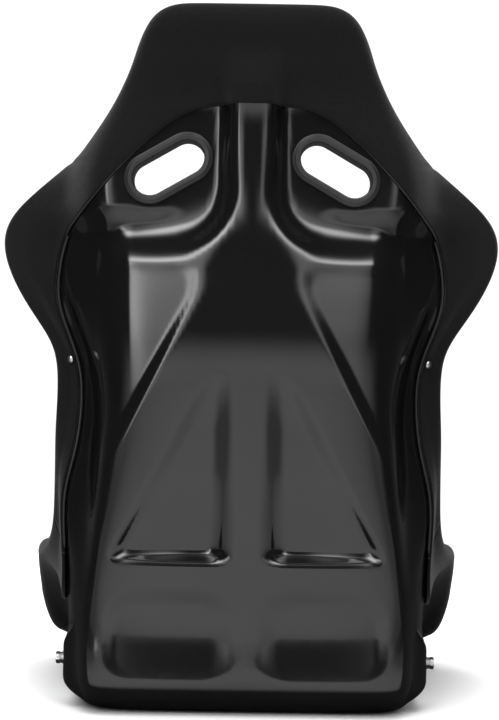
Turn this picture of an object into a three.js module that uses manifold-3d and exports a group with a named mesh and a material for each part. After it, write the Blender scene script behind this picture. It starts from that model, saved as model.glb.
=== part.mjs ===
// Fixed-back racing seat: moulded FRP shell, wrapped upholstery, loose pads, harness bezels and
// side-mount hardware. Millimetres, +Z up. The seat faces -Y, is symmetric about X = 0 and stands on
// Z = 0 with the origin under the hips.
import * as THREE from 'three';
import { mergeVertices } from 'three/addons/utils/BufferGeometryUtils.js';
import Module from 'manifold-3d';

const wasm = await Module();
wasm.setup();

// ---------------------------------------------------------------- driving dimensions
const WALL = 5;               // laminate thickness of the shell
const GAP = 0.45;             // free space kept between rigid pieces that touch
const SOFT_GAP = 3;           // free space between the facets of the shell and of the foam on it
const COVER_EDGE = 8;         // foam and fabric folded over the shell's rim
const COVER_REAR = 4;         // fabric and thin foam on the rear face
const SPINE_HALF = 17;        // half width of the spine's flat crest
const SHELF_Z = 573;          // where the shoulder-blade field ends and the slot zone starts
const BLADE_Z = 526;          // top edge of the shoulder-blade recess
const SLOT = {
  x: 98, z: 642, length: 90, width: 40, tilt: Math.PI / 6, rearY: 206, frontY: 160, blend: 16, zone: 80,
};
const BEZEL_FACE = 10;        // width of the bezel's visible ring
const SLEEVE_WALL = 3;
const LAND = { x: 219, z: 54, halfHeight: 18, frontY: -214, rearY: 124, blend: 30 };
const BOLT_Y = [-190, 100];   // 290 mm side-mount pitch
const PLATE_THICK = 3;

// Cross-sections of the shell from the front lip (first) over the pan and the back to the head (last).
// centre and rim are [y, z]; body is the flat half width, wall the half width of the side wall (midway
// to the rim where none is given), width the upholstered half width at the rim.
// Depths below zero are trimmed to the flat underside at z = 0.
// A style says how the section climbs: pairs of [0 body, 1 wall, 2 rim] and [0 centre depth, 1 rim depth].
const STYLES = {
  lip: [[0.6, 0.05], [1, 0.3], [1.4, 0.6], [1.76, 0.85]],
  pan: [[0.62, 0], [1, 0.12], [1.03, 0.5], [1.35, 0.85]],
  waist: [[0.16, 0.06], [0.4, 0.35], [0.68, 0.72], [1.24, 0.9]],
  wing: [[0.3, 0.05], [0.68, 0.32], [1.1, 0.58], [1.6, 0.85]],
  head: [[0.7, 0.04], [1.4, 0.2], [1.8, 0.5], [1.96, 0.8]],
};
const STATIONS = [
  { centre: [-300, 20], rim: [-288, 54], body: 170, wall: 210, width: 272, style: ['lip', 'lip'] },
  { centre: [-280, 9], rim: [-262, 96], body: 172, wall: 214, width: 282, style: ['lip', 'pan'] },
  { centre: [-255, -1], rim: [-214, 138], body: 175, wall: 217, width: 283, style: ['pan', 'pan'] },
  { centre: [-170, -2], rim: [-130, 163], body: 175, wall: 218, width: 276, style: ['pan', 'pan'] },
  { centre: [-60, -2], rim: [-50, 172], body: 175, wall: 218, width: 267, style: ['pan', 'pan'] },
  { centre: [60, -2], rim: [20, 184], body: 175, wall: 218, width: 252, style: ['pan', 'pan'] },
  { centre: [150, -1], rim: [56, 225], body: 182, wall: 219, width: 242, style: ['pan', 'waist'] },
  { centre: [184, 16], rim: [68, 290], body: 186, wall: 226, width: 240, style: ['waist', 'waist'] },
  { centre: [190, 90], rim: [72, 360], body: 184, wall: 208, width: 240, style: ['waist', 'waist'] },
  { centre: [205, 210], rim: [70, 425], body: 172, wall: 192, width: 244, style: ['waist', 'waist'] },
  { centre: [223, 350], rim: [62, 485], body: 148, width: 278, style: ['waist', 'wing'] },
  { centre: [231, 470], rim: [58, 548], body: 148, width: 306, style: ['wing', 'wing'] },
  { centre: [214, 590], rim: [76, 602], body: 150, width: 284, style: ['wing', 'wing'] },
  { centre: [206, 680], rim: [110, 650], body: 130, width: 222, style: ['wing', 'head'] },
  { centre: [216, 750], rim: [146, 700], body: 100, width: 172, style: ['head', 'head'] },
  { centre: [230, 800], rim: [170, 748], body: 85, width: 149, style: ['head', 'head'] },
  { centre: [226, 820], rim: [182, 790], body: 80, width: 134, style: ['head', 'head'] },
  { centre: [198, 825], rim: [186, 811], body: 75, width: 115, style: ['head', 'head'] },
];
const LAST = STATIONS.length - 1;

// ---------------------------------------------------------------- small mathematics
const clamp = (value, low, high) => Math.min(Math.max(value, low), high);
const mix = (a, b, share) => a + (b - a) * share;

function smoothstep(from, to, value) {
  const t = clamp((value - from) / (to - from), 0, 1);
  return t * t * (3 - 2 * t);
}

// Blends two signed distances so that their union gets a fillet of about the given radius.
function smoothMin(a, b, radius) {
  const h = Math.max(radius - Math.abs(a - b), 0) / radius;
  return Math.min(a, b) - h * h * radius / 4;
}

const smoothMax = (a, b, radius) => -smoothMin(-a, -b, radius);

// Natural cubic spline through (knots, values), returned as a function of the knot parameter.
function naturalSpline(knots, values) {
  const count = knots.length;
  const curvature = new Array(count).fill(0);
  const upper = new Array(count).fill(0);
  for (let i = 1; i < count - 1; i += 1) {
    const before = knots[i] - knots[i - 1];
    const after = knots[i + 1] - knots[i];
    const slope = (values[i + 1] - values[i]) / after - (values[i] - values[i - 1]) / before;
    const pivot = 2 * (before + after) - before * upper[i - 1];
    upper[i] = after / pivot;
    curvature[i] = (6 * slope - before * curvature[i - 1]) / pivot;
  }
  for (let i = count - 2; i > 0; i -= 1) {
    curvature[i] -= upper[i] * curvature[i + 1];
  }
  return (t) => {
    let i = 0;
    while (i < count - 2 && t > knots[i + 1]) {
      i += 1;
    }
    const span = knots[i + 1] - knots[i];
    const b = clamp((t - knots[i]) / span, 0, 1);
    const a = 1 - b;
    const bend = (a ** 3 - a) * curvature[i] + (b ** 3 - b) * curvature[i + 1];
    return a * values[i] + b * values[i + 1] + bend * span * span / 6;
  };
}

// Clamped uniform cubic B-spline weights of `count` control points at u in [0, 1].
function splineWeights(u, count) {
  const spans = count - 3;
  const knot = (i) => clamp(i - 3, 0, spans) / spans;
  const weights = new Array(count + 3).fill(0);
  const span = Math.min(Math.floor(u * spans), spans - 1) + 3;
  weights[span] = 1;
  for (let degree = 1; degree <= 3; degree += 1) {
    for (let i = span - degree; i <= span; i += 1) {
      const left = knot(i + degree) - knot(i);
      const right = knot(i + degree + 1) - knot(i + 1);
      const rising = left > 0 ? (u - knot(i)) / left * weights[i] : 0;
      const falling = right > 0 ? (knot(i + degree + 1) - u) / right * weights[i + 1] : 0;
      weights[i] = rising + falling;
    }
  }
  return weights.slice(0, count);
}

// ---------------------------------------------------------------- the shell's mould surface
// Each station becomes eight control points from the centre line to the rim.
function controlColumns(station) {
  const rimX = station.width - (WALL / 2 + SOFT_GAP + COVER_EDGE);
  const wallX = station.wall ?? (station.body + rimX) / 2;
  const [first, second] = station.style.map((name) => STYLES[name]);
  const climbs = first.map((pair, i) => [mix(pair[0], second[i][0], 0.5), mix(pair[1], second[i][1], 0.5)]);
  const flat = [0, 0.5, 0.92].map((share) => [share * station.body, 0]);
  const reach = (a) => (a < 1 ? mix(station.body, wallX, a) : mix(wallX, rimX, a - 1));
  const side = [...climbs, [2, 1]].map(([a, d]) => [reach(a), d]);
  return [...flat, ...side].map(([x, share]) => [
    x,
    mix(station.centre[0], station.rim[0], share),
    mix(station.centre[1], station.rim[1], share),
  ]);
}

// Knots grow with the mean distance between neighbouring stations, so the mould has no bunched waves.
const knots = [0];
for (let i = 1; i <= LAST; i += 1) {
  const centreStep = Math.hypot(
    STATIONS[i].centre[0] - STATIONS[i - 1].centre[0], STATIONS[i].centre[1] - STATIONS[i - 1].centre[1]);
  const [before, here] = [STATIONS[i - 1].rim, STATIONS[i].rim];
  const rimStep = Math.hypot(here[0] - before[0], here[1] - before[1]);
  knots.push(knots[i - 1] + (centreStep + rimStep) / 2);
}
const columns = STATIONS.map(controlColumns);
const COLUMN_COUNT = columns[0].length;
const net = Array.from({ length: COLUMN_COUNT }, (_, column) =>
  [0, 1, 2].map((axis) => naturalSpline(knots, columns.map((station) => station[column][axis]))));

// Length parameter of a fractional station number.
function along(station) {
  const i = Math.min(Math.floor(station), LAST - 1);
  return mix(knots[i], knots[i + 1], station - i);
}

// Smooth mould point at u (-1 left rim, 0 centre, 1 right rim) and length parameter t.
function mould(u, t) {
  const weights = splineWeights(Math.min(Math.abs(u), 1), COLUMN_COUNT);
  const point = [0, 0, 0];
  for (let column = 0; column < COLUMN_COUNT; column += 1) {
    if (weights[column] !== 0) {
      net[column].forEach((spline, axis) => {
        point[axis] += weights[column] * spline(t);
      });
    }
  }
  return new THREE.Vector3(Math.sign(u) * point[0], point[1], Math.max(point[2], 0));
}

function mouldNormal(u, t) {
  const du = 0.004;
  const dt = 1.5;
  const across = mould(Math.min(u + du, 1), t).sub(mould(Math.max(u - du, -1), t));
  const up = mould(u, Math.min(t + dt, knots[LAST])).sub(mould(u, Math.max(t - dt, 0)));
  return up.cross(across).normalize();
}

// ---------------------------------------------------------------- raised spine, A-shaped body and recesses
// Signed distance to a rounded box given by its centre and half sizes.
function roundedBox(x, z, box) {
  const dx = Math.abs(x - box.x) - box.halfX + box.radius;
  const dz = Math.abs(z - box.z) - box.halfZ + box.radius;
  const outside = Math.hypot(Math.max(dx, 0), Math.max(dz, 0));
  return outside + Math.min(Math.max(dx, dz), 0) - box.radius;
}

// Signed distance to the line from p to q, positive on its left side.
function lineSide(x, z, p, q) {
  const length = Math.hypot(q[0] - p[0], q[1] - p[1]);
  return ((q[0] - p[0]) * (z - p[1]) - (q[1] - p[1]) * (x - p[0])) / length;
}

const bodyHalf = naturalSpline(
  [0, 130, 250, 400, 560, 660, 760, 840],
  [200, 194, 176, 150, 150, 134, 100, 80]);

// The moulded back in the rear view: points are [half width, z], depths are in Y.
const SPINE_SIDE = SPINE_HALF + 9;       // middle of the spine's flank beside the slots
const BLADE = { from: [52, 520], to: [148, 336], topDepth: 3, depth: 8 };
const FALL = { rate: 0.15, span: 120, roundFrom: 138, roundSpan: 45, roundRate: 0.005 };
const TRIANGLE = { from: [40, 402], to: [150, 200], innerX: 30, lowZ: 186, depth: 9, lowDepth: 20 };
const PANEL = { x: 92, z: 90, halfX: 70, halfZ: 52, radius: 34, depth: 4 };

// How far the back stands out of the mould, in +Y, at a point of the rear view.
function relief(sideX, z) {
  const x = Math.abs(sideX);
  const besideSpine = smoothstep(20, 90, x);
  const raised = smoothMin(x - SPINE_SIDE, z - SHELF_Z, 48);
  const crest = 14 + 12 * smoothstep(500, 680, z) + 3.5 * smoothstep(150, 20, z);
  const share = smoothstep(mix(20, 9, besideSpine), mix(-8, -44, besideSpine), raised);
  let height = crest * share ** mix(1.6, 1, besideSpine);

  const outsideBody = -lineSide(x, z, BLADE.from, BLADE.to);
  const blade = smoothMax(z - BLADE_Z, outsideBody, 40);
  const bladeDepth = mix(BLADE.depth, BLADE.topDepth, smoothstep(450, BLADE_Z, z));
  height -= bladeDepth * smoothstep(7, -7, blade) * smoothstep(290, 350, z);

  const corner = smoothMax(TRIANGLE.innerX - x, TRIANGLE.lowZ - z, 14);
  const triangle = smoothMax(corner, lineSide(x, z, TRIANGLE.from, TRIANGLE.to), 16);
  const triangleDepth = mix(TRIANGLE.depth, TRIANGLE.lowDepth, smoothstep(290, 195, z))
    * smoothstep(415, 340, z) * (1 - 0.45 * smoothstep(60, 150, x));
  height -= triangleDepth * smoothstep(7, -7, triangle);

  const belowTop = clamp((PANEL.z + PANEL.halfZ - z) / (2 * PANEL.halfZ), 0, 1);
  height -= PANEL.depth * (1 - belowTop ** 2) * smoothstep(9, -11, roundedBox(x, z, PANEL));

  const edge = bodyHalf(z);
  const fade = 1 - smoothstep(edge - 10, edge + 40, x);
  height *= fade * smoothstep(8, 36, z) * (1 - smoothstep(735, 790, z));

  // Outside the blade line the back falls away, and rounds over into the flank.
  const away = Math.max(-outsideBody - 4, 0);
  const rounding = FALL.roundRate * clamp(x - FALL.roundFrom, 0, FALL.roundSpan) ** 2;
  const falling = FALL.rate * Math.min(away, FALL.span) + rounding * smoothstep(0, 30, away);
  return height - falling * smoothstep(290, 360, z) * smoothstep(600, 556, z);
}

// The relief fades out where the shell turns forward.
const reliefAt = (point) => relief(point.x, point.z) * smoothstep(80, 135, point.y);

// Signed distance to the rounded harness slot, grown by `grow`.
function slotDistance(sideX, z, grow) {
  const dx = Math.abs(sideX) - SLOT.x;
  const dz = z - SLOT.z;
  const alongSlot = dx * Math.cos(SLOT.tilt) - dz * Math.sin(SLOT.tilt);
  const acrossSlot = dx * Math.sin(SLOT.tilt) + dz * Math.cos(SLOT.tilt);
  const straight = (SLOT.length - SLOT.width) / 2;
  return Math.hypot(Math.max(Math.abs(alongSlot) - straight, 0), acrossSlot) - SLOT.width / 2 - grow;
}

// Levels the zone round the harness slots before the ribs are raised on it.
function settle(point, depth) {
  const nearSlot = smoothstep(SLOT.zone, 10, slotDistance(point.x, point.z, BEZEL_FACE));
  const zone = nearSlot * smoothstep(100, 150, point.y);
  point.y = mix(point.y, SLOT.rearY - depth, zone);
  return point;
}

// Flat lands: behind each harness slot, and down each side where the mounting bolts sit.
function flatten(point, depth) {
  if (point.y > 100) {
    const slotLand = smoothstep(SLOT.blend, 2, slotDistance(point.x, point.z, BEZEL_FACE));
    point.y = mix(point.y, SLOT.rearY - depth, slotLand);
  }
  const beyondZ = Math.abs(point.z - LAND.z) - LAND.halfHeight;
  const beyondY = Math.max(LAND.frontY - point.y, point.y - LAND.rearY);
  const sideLand = smoothstep(LAND.blend, 0, Math.max(beyondZ, beyondY));
  if (Math.abs(point.x) > 150) {
    point.x = mix(point.x, Math.sign(point.x) * (LAND.x - depth), sideLand);
  }
  return point;
}

// Surface at a depth below the outer face; depth 0 is the gelcoat, WALL is the inside of the laminate.
function shellSurface(u, t, depth) {
  const point = mould(u, t);
  const rise = reliefAt(point);
  settle(point.addScaledVector(mouldNormal(u, t), -depth), depth);
  point.y += rise;
  point.z = Math.max(point.z, depth);
  return flatten(point, depth);
}

// Same for the pads' side, which bridges the hollow ribs and clears the recesses behind it.
function padSurface(u, t, depth) {
  const inset = WALL + SOFT_GAP + depth;
  const point = mould(u, t).addScaledVector(mouldNormal(u, t), -inset);
  point.z = Math.max(point.z, inset);
  settle(point, inset);
  const land = flatten(point.clone(), inset + PLATE_THICK);
  point.x = Math.sign(point.x) * Math.min(Math.abs(point.x), Math.abs(land.x));
  point.y = Math.min(point.y, land.y) + Math.min(reliefAt(point), 0);
  return point;
}

// ---------------------------------------------------------------- closed solids from grids
// Skins two matching grids of points and closes the four edges between them.
function sheetSolid(outside, inside, acrossCount, alongCount) {
  const positions = [];
  const index = [];
  const rows = acrossCount + 1;
  const id = (side, i, j) => side * rows * (alongCount + 1) + j * rows + i;
  for (const surface of [outside, inside]) {
    for (let j = 0; j <= alongCount; j += 1) {
      for (let i = 0; i <= acrossCount; i += 1) {
        positions.push(...surface(i / acrossCount, j / alongCount).toArray());
      }
    }
  }
  const quad = (a, b, c, d) => index.push(a, b, c, a, c, d);
  for (let j = 0; j < alongCount; j += 1) {
    for (let i = 0; i < acrossCount; i += 1) {
      quad(id(0, i, j), id(0, i + 1, j), id(0, i + 1, j + 1), id(0, i, j + 1));
      quad(id(1, i, j), id(1, i, j + 1), id(1, i + 1, j + 1), id(1, i + 1, j));
    }
  }
  for (let i = 0; i < acrossCount; i += 1) {
    quad(id(0, i, 0), id(1, i, 0), id(1, i + 1, 0), id(0, i + 1, 0));
    quad(id(0, i, alongCount), id(0, i + 1, alongCount), id(1, i + 1, alongCount), id(1, i, alongCount));
  }
  for (let j = 0; j < alongCount; j += 1) {
    quad(id(0, 0, j), id(0, 0, j + 1), id(1, 0, j + 1), id(1, 0, j));
    quad(id(0, acrossCount, j), id(1, acrossCount, j), id(1, acrossCount, j + 1), id(0, acrossCount, j + 1));
  }
  const geometry = new THREE.BufferGeometry();
  geometry.setAttribute('position', new THREE.Float32BufferAttribute(positions, 3));
  geometry.setIndex(index);
  return facingOut(geometry);
}

function signedVolume(geometry) {
  const position = geometry.getAttribute('position');
  const corner = [new THREE.Vector3(), new THREE.Vector3(), new THREE.Vector3()];
  let volume = 0;
  for (let i = 0; i < geometry.index.count; i += 3) {
    corner.forEach((vector, k) => vector.fromBufferAttribute(position, geometry.index.getX(i + k)));
    volume += corner[0].dot(corner[1].clone().cross(corner[2]));
  }
  return volume / 6;
}

function facingOut(geometry) {
  if (signedVolume(geometry) < 0) {
    const index = Array.from(geometry.index.array);
    for (let i = 0; i < index.length; i += 3) {
      [index[i + 1], index[i + 2]] = [index[i + 2], index[i + 1]];
    }
    geometry.setIndex(index);
  }
  return geometry;
}

// ---------------------------------------------------------------- cutting
function toManifold(source) {
  const geometry = source.clone();
  geometry.deleteAttribute('normal');
  geometry.deleteAttribute('uv');
  const merged = mergeVertices(geometry, 1e-4);
  return new wasm.Manifold(new wasm.Mesh({
    numProp: 3,
    vertProperties: new Float32Array(merged.getAttribute('position').array),
    triVerts: new Uint32Array(merged.index.array),
  }));
}

function fromManifold(solid) {
  const mesh = solid.getMesh();
  const geometry = new THREE.BufferGeometry();
  geometry.setAttribute('position', new THREE.BufferAttribute(new Float32Array(mesh.vertProperties), 3));
  geometry.setIndex(new THREE.BufferAttribute(new Uint32Array(mesh.triVerts), 1));
  return geometry;
}

function cut(geometry, tools) {
  let solid = toManifold(geometry);
  for (const tool of tools) {
    solid = solid.subtract(toManifold(tool));
  }
  return fromManifold(solid);
}

// ---------------------------------------------------------------- harness slots
function stadium(length, width) {
  const shape = new THREE.Shape();
  const straight = (length - width) / 2;
  shape.moveTo(-straight, -width / 2);
  shape.lineTo(straight, -width / 2);
  shape.absarc(straight, 0, width / 2, -Math.PI / 2, Math.PI / 2, false);
  shape.lineTo(-straight, width / 2);
  shape.absarc(-straight, 0, width / 2, Math.PI / 2, Math.PI * 1.5, false);
  return shape;
}

// Prism with the slot's outline grown by `outer` (and hollowed to `inner`), from y = near to y = far.
function slotPrism(side, outer, inner, near, far) {
  const shape = stadium(SLOT.length + 2 * outer, SLOT.width + 2 * outer);
  if (inner !== null) {
    shape.holes.push(stadium(SLOT.length + 2 * inner, SLOT.width + 2 * inner));
  }
  const options = { depth: far - near, bevelEnabled: false, curveSegments: 6 };
  const geometry = new THREE.ExtrudeGeometry(shape, options);
  geometry.rotateX(Math.PI / 2);
  geometry.rotateY(side * SLOT.tilt);
  geometry.translate(side * SLOT.x, far, SLOT.z);
  return geometry;
}

const BEZEL_THICK = 7;
const FLANGE_REAR = SLOT.rearY + GAP;

function rearBezel(side) {
  const flange = slotPrism(side, BEZEL_FACE, 0, FLANGE_REAR, FLANGE_REAR + BEZEL_THICK);
  const sleeve = slotPrism(side, SLEEVE_WALL, 0, SLOT.frontY + 2, FLANGE_REAR + 1);
  return fromManifold(toManifold(flange).add(toManifold(sleeve)));
}

function frontBezel(side) {
  return slotPrism(side, BEZEL_FACE, SLEEVE_WALL + GAP, SLOT.frontY, SLOT.frontY + BEZEL_THICK);
}

// Room for both bezels in whatever the slot passes through.
function slotCutters(side) {
  return [
    slotPrism(side, SLEEVE_WALL + GAP, null, 40, 320),
    slotPrism(side, BEZEL_FACE + GAP, null, SLOT.rearY, 320),
    slotPrism(side, BEZEL_FACE + GAP, null, 40, SLOT.frontY + BEZEL_THICK + GAP),
  ];
}

const bothSlots = [...slotCutters(1), ...slotCutters(-1)];

// ---------------------------------------------------------------- side-mount hardware
// Cylinder or prism along X between two distances from the seat's centre plane.
function sidePlug(side, y, radius, from, to, segments) {
  const geometry = new THREE.CylinderGeometry(radius, radius, to - from, segments);
  geometry.rotateZ(Math.PI / 2);
  geometry.translate(side * (from + to) / 2, y, LAND.z);
  return geometry;
}

const BOLT = { shank: 4, hole: 4.45, across: 13, head: 5.3, reach: 201 };
const WASHER = { flatOuter: 8, flatThick: 1.6, springOuter: 7, springThick: 2.2 };
const NUT = { outer: 8, from: 202, to: LAND.x - WALL - GAP - PLATE_THICK - GAP };
const FLAT_START = LAND.x + GAP;
const SPRING_START = FLAT_START + WASHER.flatThick + GAP;
const HEAD_START = SPRING_START + WASHER.springThick + GAP;

function boltSolid(side, y) {
  const shank = sidePlug(side, y, BOLT.shank, BOLT.reach, HEAD_START + 1, 16);
  const head = sidePlug(side, y, BOLT.across / Math.sqrt(3), HEAD_START, HEAD_START + BOLT.head, 6);
  return fromManifold(toManifold(shank).add(toManifold(head)));
}

function ringAlongX(side, y, outer, from, to, segments = 18) {
  const bore = sidePlug(side, y, BOLT.hole, from - 2, to + 2, 16);
  return cut(sidePlug(side, y, outer, from, to, segments), [bore]);
}

// A spring washer is a ring with one slanted saw cut.
function springWasher(side, y) {
  const ring = ringAlongX(side, y, WASHER.springOuter, SPRING_START, SPRING_START + WASHER.springThick);
  const saw = new THREE.BoxGeometry(8, 1, 8);
  saw.rotateZ(0.35);
  saw.translate(side * (SPRING_START + WASHER.springThick / 2), y, LAND.z + WASHER.springOuter);
  return cut(ring, [saw]);
}

function sidePlate(side) {
  const from = LAND.x - WALL - GAP - PLATE_THICK;
  const length = LAND.rearY - LAND.frontY - 12;
  const plate = new THREE.BoxGeometry(PLATE_THICK, length, 30);
  plate.translate(side * (from + PLATE_THICK / 2), (LAND.rearY + LAND.frontY) / 2, LAND.z);
  return cut(plate, BOLT_Y.map((y) => sidePlug(side, y, BOLT.hole, from - 2, from + PLATE_THICK + 2, 16)));
}

// ---------------------------------------------------------------- the laminate and the room round it
const SHELL_GRID = [38, 34];

// The laminate grown by `grow` on both faces and by `past` beyond its rim, on the shell's own grid.
function laminate(grow, past = 2 * grow) {
  const face = (depth) => (i, j) => {
    const [u, t] = [2 * i - 1, j * knots[LAST]];
    const point = shellSurface(u, t, depth);
    const insideU = Math.abs(u) === 1 ? 0.97 * u : u;
    const insideT = j === 0 || j === 1 ? mix(t, knots[LAST] / 2, 0.01) : t;
    const onRim = insideU !== u || insideT !== t;
    const inner = shellSurface(insideU, insideT, depth);
    return onRim ? point.add(point.clone().sub(inner).setLength(past)) : point;
  };
  return sheetSolid(face(-grow), face(WALL + grow), ...SHELL_GRID);
}

const FOAM_CLEAR = 1.2;       // least distance between the laminate and the foam round it
// The room kept free of foam is grown three ways, because a margin beyond the rim also tilts its facets.
const shellClearances = [laminate(GAP), laminate(FOAM_CLEAR, 0), laminate(0, 0)];

// ---------------------------------------------------------------- upholstery wrapped over the rim
// Mould parameter u where the section at t reaches the given half width.
function uAtX(x, t) {
  let low = 0;
  let high = 1;
  for (let step = 0; step < 30; step += 1) {
    const middle = (low + high) / 2;
    if (mould(middle, t).x < x) {
      low = middle;
    } else {
      high = middle;
    }
  }
  return (low + high) / 2;
}

// Mould parameters of a point given in the rear view, found by Newton steps from a first station.
function locate(x, z, station) {
  let u = 0.5;
  let t = along(station);
  for (let step = 0; step < 25; step += 1) {
    const here = mould(u, t);
    const du = mould(u + 0.002, t).sub(here).divideScalar(0.002);
    const dt = mould(u, t + 0.5).sub(here).divideScalar(0.5);
    const determinant = du.x * dt.z - dt.x * du.z;
    const errorX = x - here.x;
    const errorZ = z - here.z;
    u = clamp(u + clamp((errorX * dt.z - errorZ * dt.x) / determinant, -0.15, 0.15), 0, 0.995);
    t = clamp(t + clamp((errorZ * du.x - errorX * du.z) / determinant, -60, 60), 0, knots[LAST]);
  }
  return [u, t];
}

const at = (u, station) => [u, along(station)];
const seamAt = (x, station) => [uAtX(x, along(station)), along(station)];

// Spokes run from the inner seam over the rim to the rear hem, in order round the seat's right half.
const SPOKES = [
  { rim: at(0, 0), hem: at(0, 0.85), seam: at(0, 0.9) },
  { rim: at(0.5, 0), hem: at(0.5, 0.85), seam: at(0.42, 0.9) },
  { rim: at(0.86, 0), hem: at(0.76, 0.9), seam: seamAt(172, 0.9) },
  { rim: at(1, 0.12), hem: at(0.84, 0.95), seam: seamAt(174, 1.1) },
  { rim: at(1, 1), hem: at(0.84, 1.3), seam: seamAt(176, 1.6) },
  { rim: at(1, 2), hem: at(0.84, 2.1), seam: seamAt(176, 2.2) },
  { rim: at(1, 3), hem: at(0.84, 3), seam: seamAt(176, 3) },
  { rim: at(1, 4), hem: at(0.85, 4), seam: seamAt(176, 4) },
  { rim: at(1, 5), hem: at(0.87, 5), seam: seamAt(172, 5) },
  { rim: at(1, 6), hem: at(0.89, 6), seam: seamAt(164, 6) },
  { rim: at(1, 7), hem: at(0.89, 7), seam: seamAt(156, 7) },
  { rim: at(1, 8), hem: at(0.885, 8), seam: seamAt(150, 8) },
  { rim: at(1, 9), hem: locate(207, 404, 9.2), seam: seamAt(142, 9) },
  { rim: at(1, 10), hem: locate(228, 470, 10), seam: seamAt(134, 10) },
  { rim: at(1, 11), hem: locate(233, 520, 11), seam: seamAt(132, 11) },
  { rim: at(1, 11.6), hem: locate(224, 560, 11.6), seam: seamAt(130, 11.6) },
  { rim: at(1, 12), hem: locate(205, 586, 12), seam: seamAt(128, 12) },
  { rim: at(1, 12.6), hem: locate(172, 620, 12.5), seam: seamAt(112, 12.6) },
  { rim: at(1, 13.2), hem: locate(148, 648, 13), seam: seamAt(96, 13.2) },
  { rim: at(1, 14), hem: locate(118, 678, 13.4), seam: seamAt(78, 14) },
  { rim: at(1, 15), hem: locate(92, 698, 13.6), seam: seamAt(66, 15) },
  { rim: at(1, 16), hem: locate(70, 709, 13.7), seam: seamAt(60, 15.6) },
  { rim: at(0.9, 17), hem: locate(50, 714, 13.8), seam: seamAt(50, 15.9) },
  { rim: at(0.5, 17), hem: locate(26, 716, 13.8), seam: at(0.3, 16) },
  { rim: at(0, 17), hem: locate(0, 716, 13.8), seam: at(0, 16) },
];
const spokeNumbers = SPOKES.map((_, i) => i);
const hemU = naturalSpline(spokeNumbers, SPOKES.map((spoke) => spoke.hem[0]));
const hemT = naturalSpline(spokeNumbers, SPOKES.map((spoke) => spoke.hem[1]));

function between(key, r) {
  const i = Math.min(Math.floor(r), SPOKES.length - 2);
  const share = r - i;
  return [0, 1].map((k) => mix(SPOKES[i][key][k], SPOKES[i + 1][key][k], share));
}

// Foam thickness on the occupant's side of the rim, by spoke: thigh, hip, shoulder and head.
const bolster = naturalSpline([0, 4, 8, 11, 14, 18, 24], [16, 30, 34, 26, 24, 18, 16]);
// Grid steps along the cover's path: on the occupant's side, round the rim, and on the rear.
const PATH = { inside: 4, edge: 4, rear: 3 };
const PATH_STEPS = PATH.inside + PATH.edge + PATH.rear;
const INSIDE_SHARE = PATH.inside / PATH_STEPS;
const OUTSIDE_SHARE = (PATH.inside + PATH.edge) / PATH_STEPS;

const TOP_SPOKE = SPOKES.length - 1;

// Point of the wrapped cover at spoke r, path share q, on its near or far side. The left half has
// negative r near the front lip, and r beyond the top centre near the head.
function coverPoint(r, q, far) {
  const side = r < 0 || r > TOP_SPOKE ? -1 : 1;
  const spoke = r > TOP_SPOKE ? 2 * TOP_SPOKE - r : Math.abs(r);
  const rim = between('rim', spoke);
  const seam = between('seam', spoke);
  const hem = [hemU(spoke), hemT(spoke)];
  const place = (target, share) => [side * mix(target[0], rim[0], share), mix(target[1], rim[1], share)];
  if (q < INSIDE_SHARE) {
    const share = q / INSIDE_SHARE;
    const [u, t] = place(seam, share);
    const swell = 6 + bolster(spoke) * Math.sin(Math.PI * Math.min(share + 0.12, 1)) ** 0.7;
    const thick = mix(swell, COVER_EDGE, smoothstep(0.7, 1, share));
    return padSurface(u, t, far ? thick : 0);
  }
  if (q > OUTSIDE_SHARE) {
    const share = (1 - q) / (1 - OUTSIDE_SHARE);
    const [u, t] = place(hem, share);
    const thick = mix(COVER_REAR, COVER_EDGE, smoothstep(0.45, 1, share));
    return shellSurface(u, t, -(SOFT_GAP + (far ? thick : 0)));
  }
  const u = side * rim[0];
  const normal = mouldNormal(u, rim[1]);
  const edge = mould(u, rim[1]);
  const outward = edge.clone().sub(mould(...place(hem, 0.97)));
  outward.addScaledVector(normal, -outward.dot(normal)).normalize();
  const angle = Math.PI * (q - INSIDE_SHARE) / (OUTSIDE_SHARE - INSIDE_SHARE);
  const direction = normal.clone().multiplyScalar(-Math.cos(angle)).addScaledVector(outward, Math.sin(angle));
  const reach = WALL / 2 + (far ? SOFT_GAP + COVER_EDGE : SOFT_GAP);
  const point = edge.addScaledVector(normal, -WALL / 2).addScaledVector(direction, reach);
  point.z = Math.max(point.z, COVER_LOW);
  return point;
}

const SPOKE_GAP = 0.025;
const LIP_GAP = 0.15;         // a wider joint at the tight front corners
const LIP_SPOKE = 2.45;
const THIGH_SPOKE = 9;
const HIP_SPOKE = 12.6;
const HEAD_SPOKE = 16.4;
const COVER_LOW = 1;          // no fabric reaches below this height

function coverSolid(from, to, steps, joint = SPOKE_GAP) {
  const spokeAt = (share) => mix(from + joint, to - joint, share);
  const wrap = sheetSolid(
    (i, j) => coverPoint(spokeAt(j), i, true),
    (i, j) => coverPoint(spokeAt(j), i, false),
    PATH_STEPS, steps);
  const bodies = toManifold(cut(wrap, shellClearances)).decompose();
  bodies.sort((a, b) => b.volume() - a.volume());
  return fromManifold(bodies[0]);
}

// ---------------------------------------------------------------- pads inside the seams
// A pad between two stations, as wide as `halfWidth(station)`, crowned to `thick` in its middle.
function padSolid(fromStation, toStation, halfWidth, thick, edge, lift, steps) {
  const place = (i, j) => {
    const station = mix(fromStation, toStation, j);
    const t = along(station);
    return [(2 * i - 1) * uAtX(halfWidth(station), t), t];
  };
  const crown = (i, j) => {
    const across = 1 - (2 * i - 1) ** 4;
    const lengthwise = 1 - (2 * j - 1) ** 6;
    return edge + (thick - edge) * across * lengthwise;
  };
  return sheetSolid(
    (i, j) => padSurface(...place(i, j), lift + crown(i, j)),
    (i, j) => padSurface(...place(i, j), lift),
    steps[0], steps[1]);
}

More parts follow.
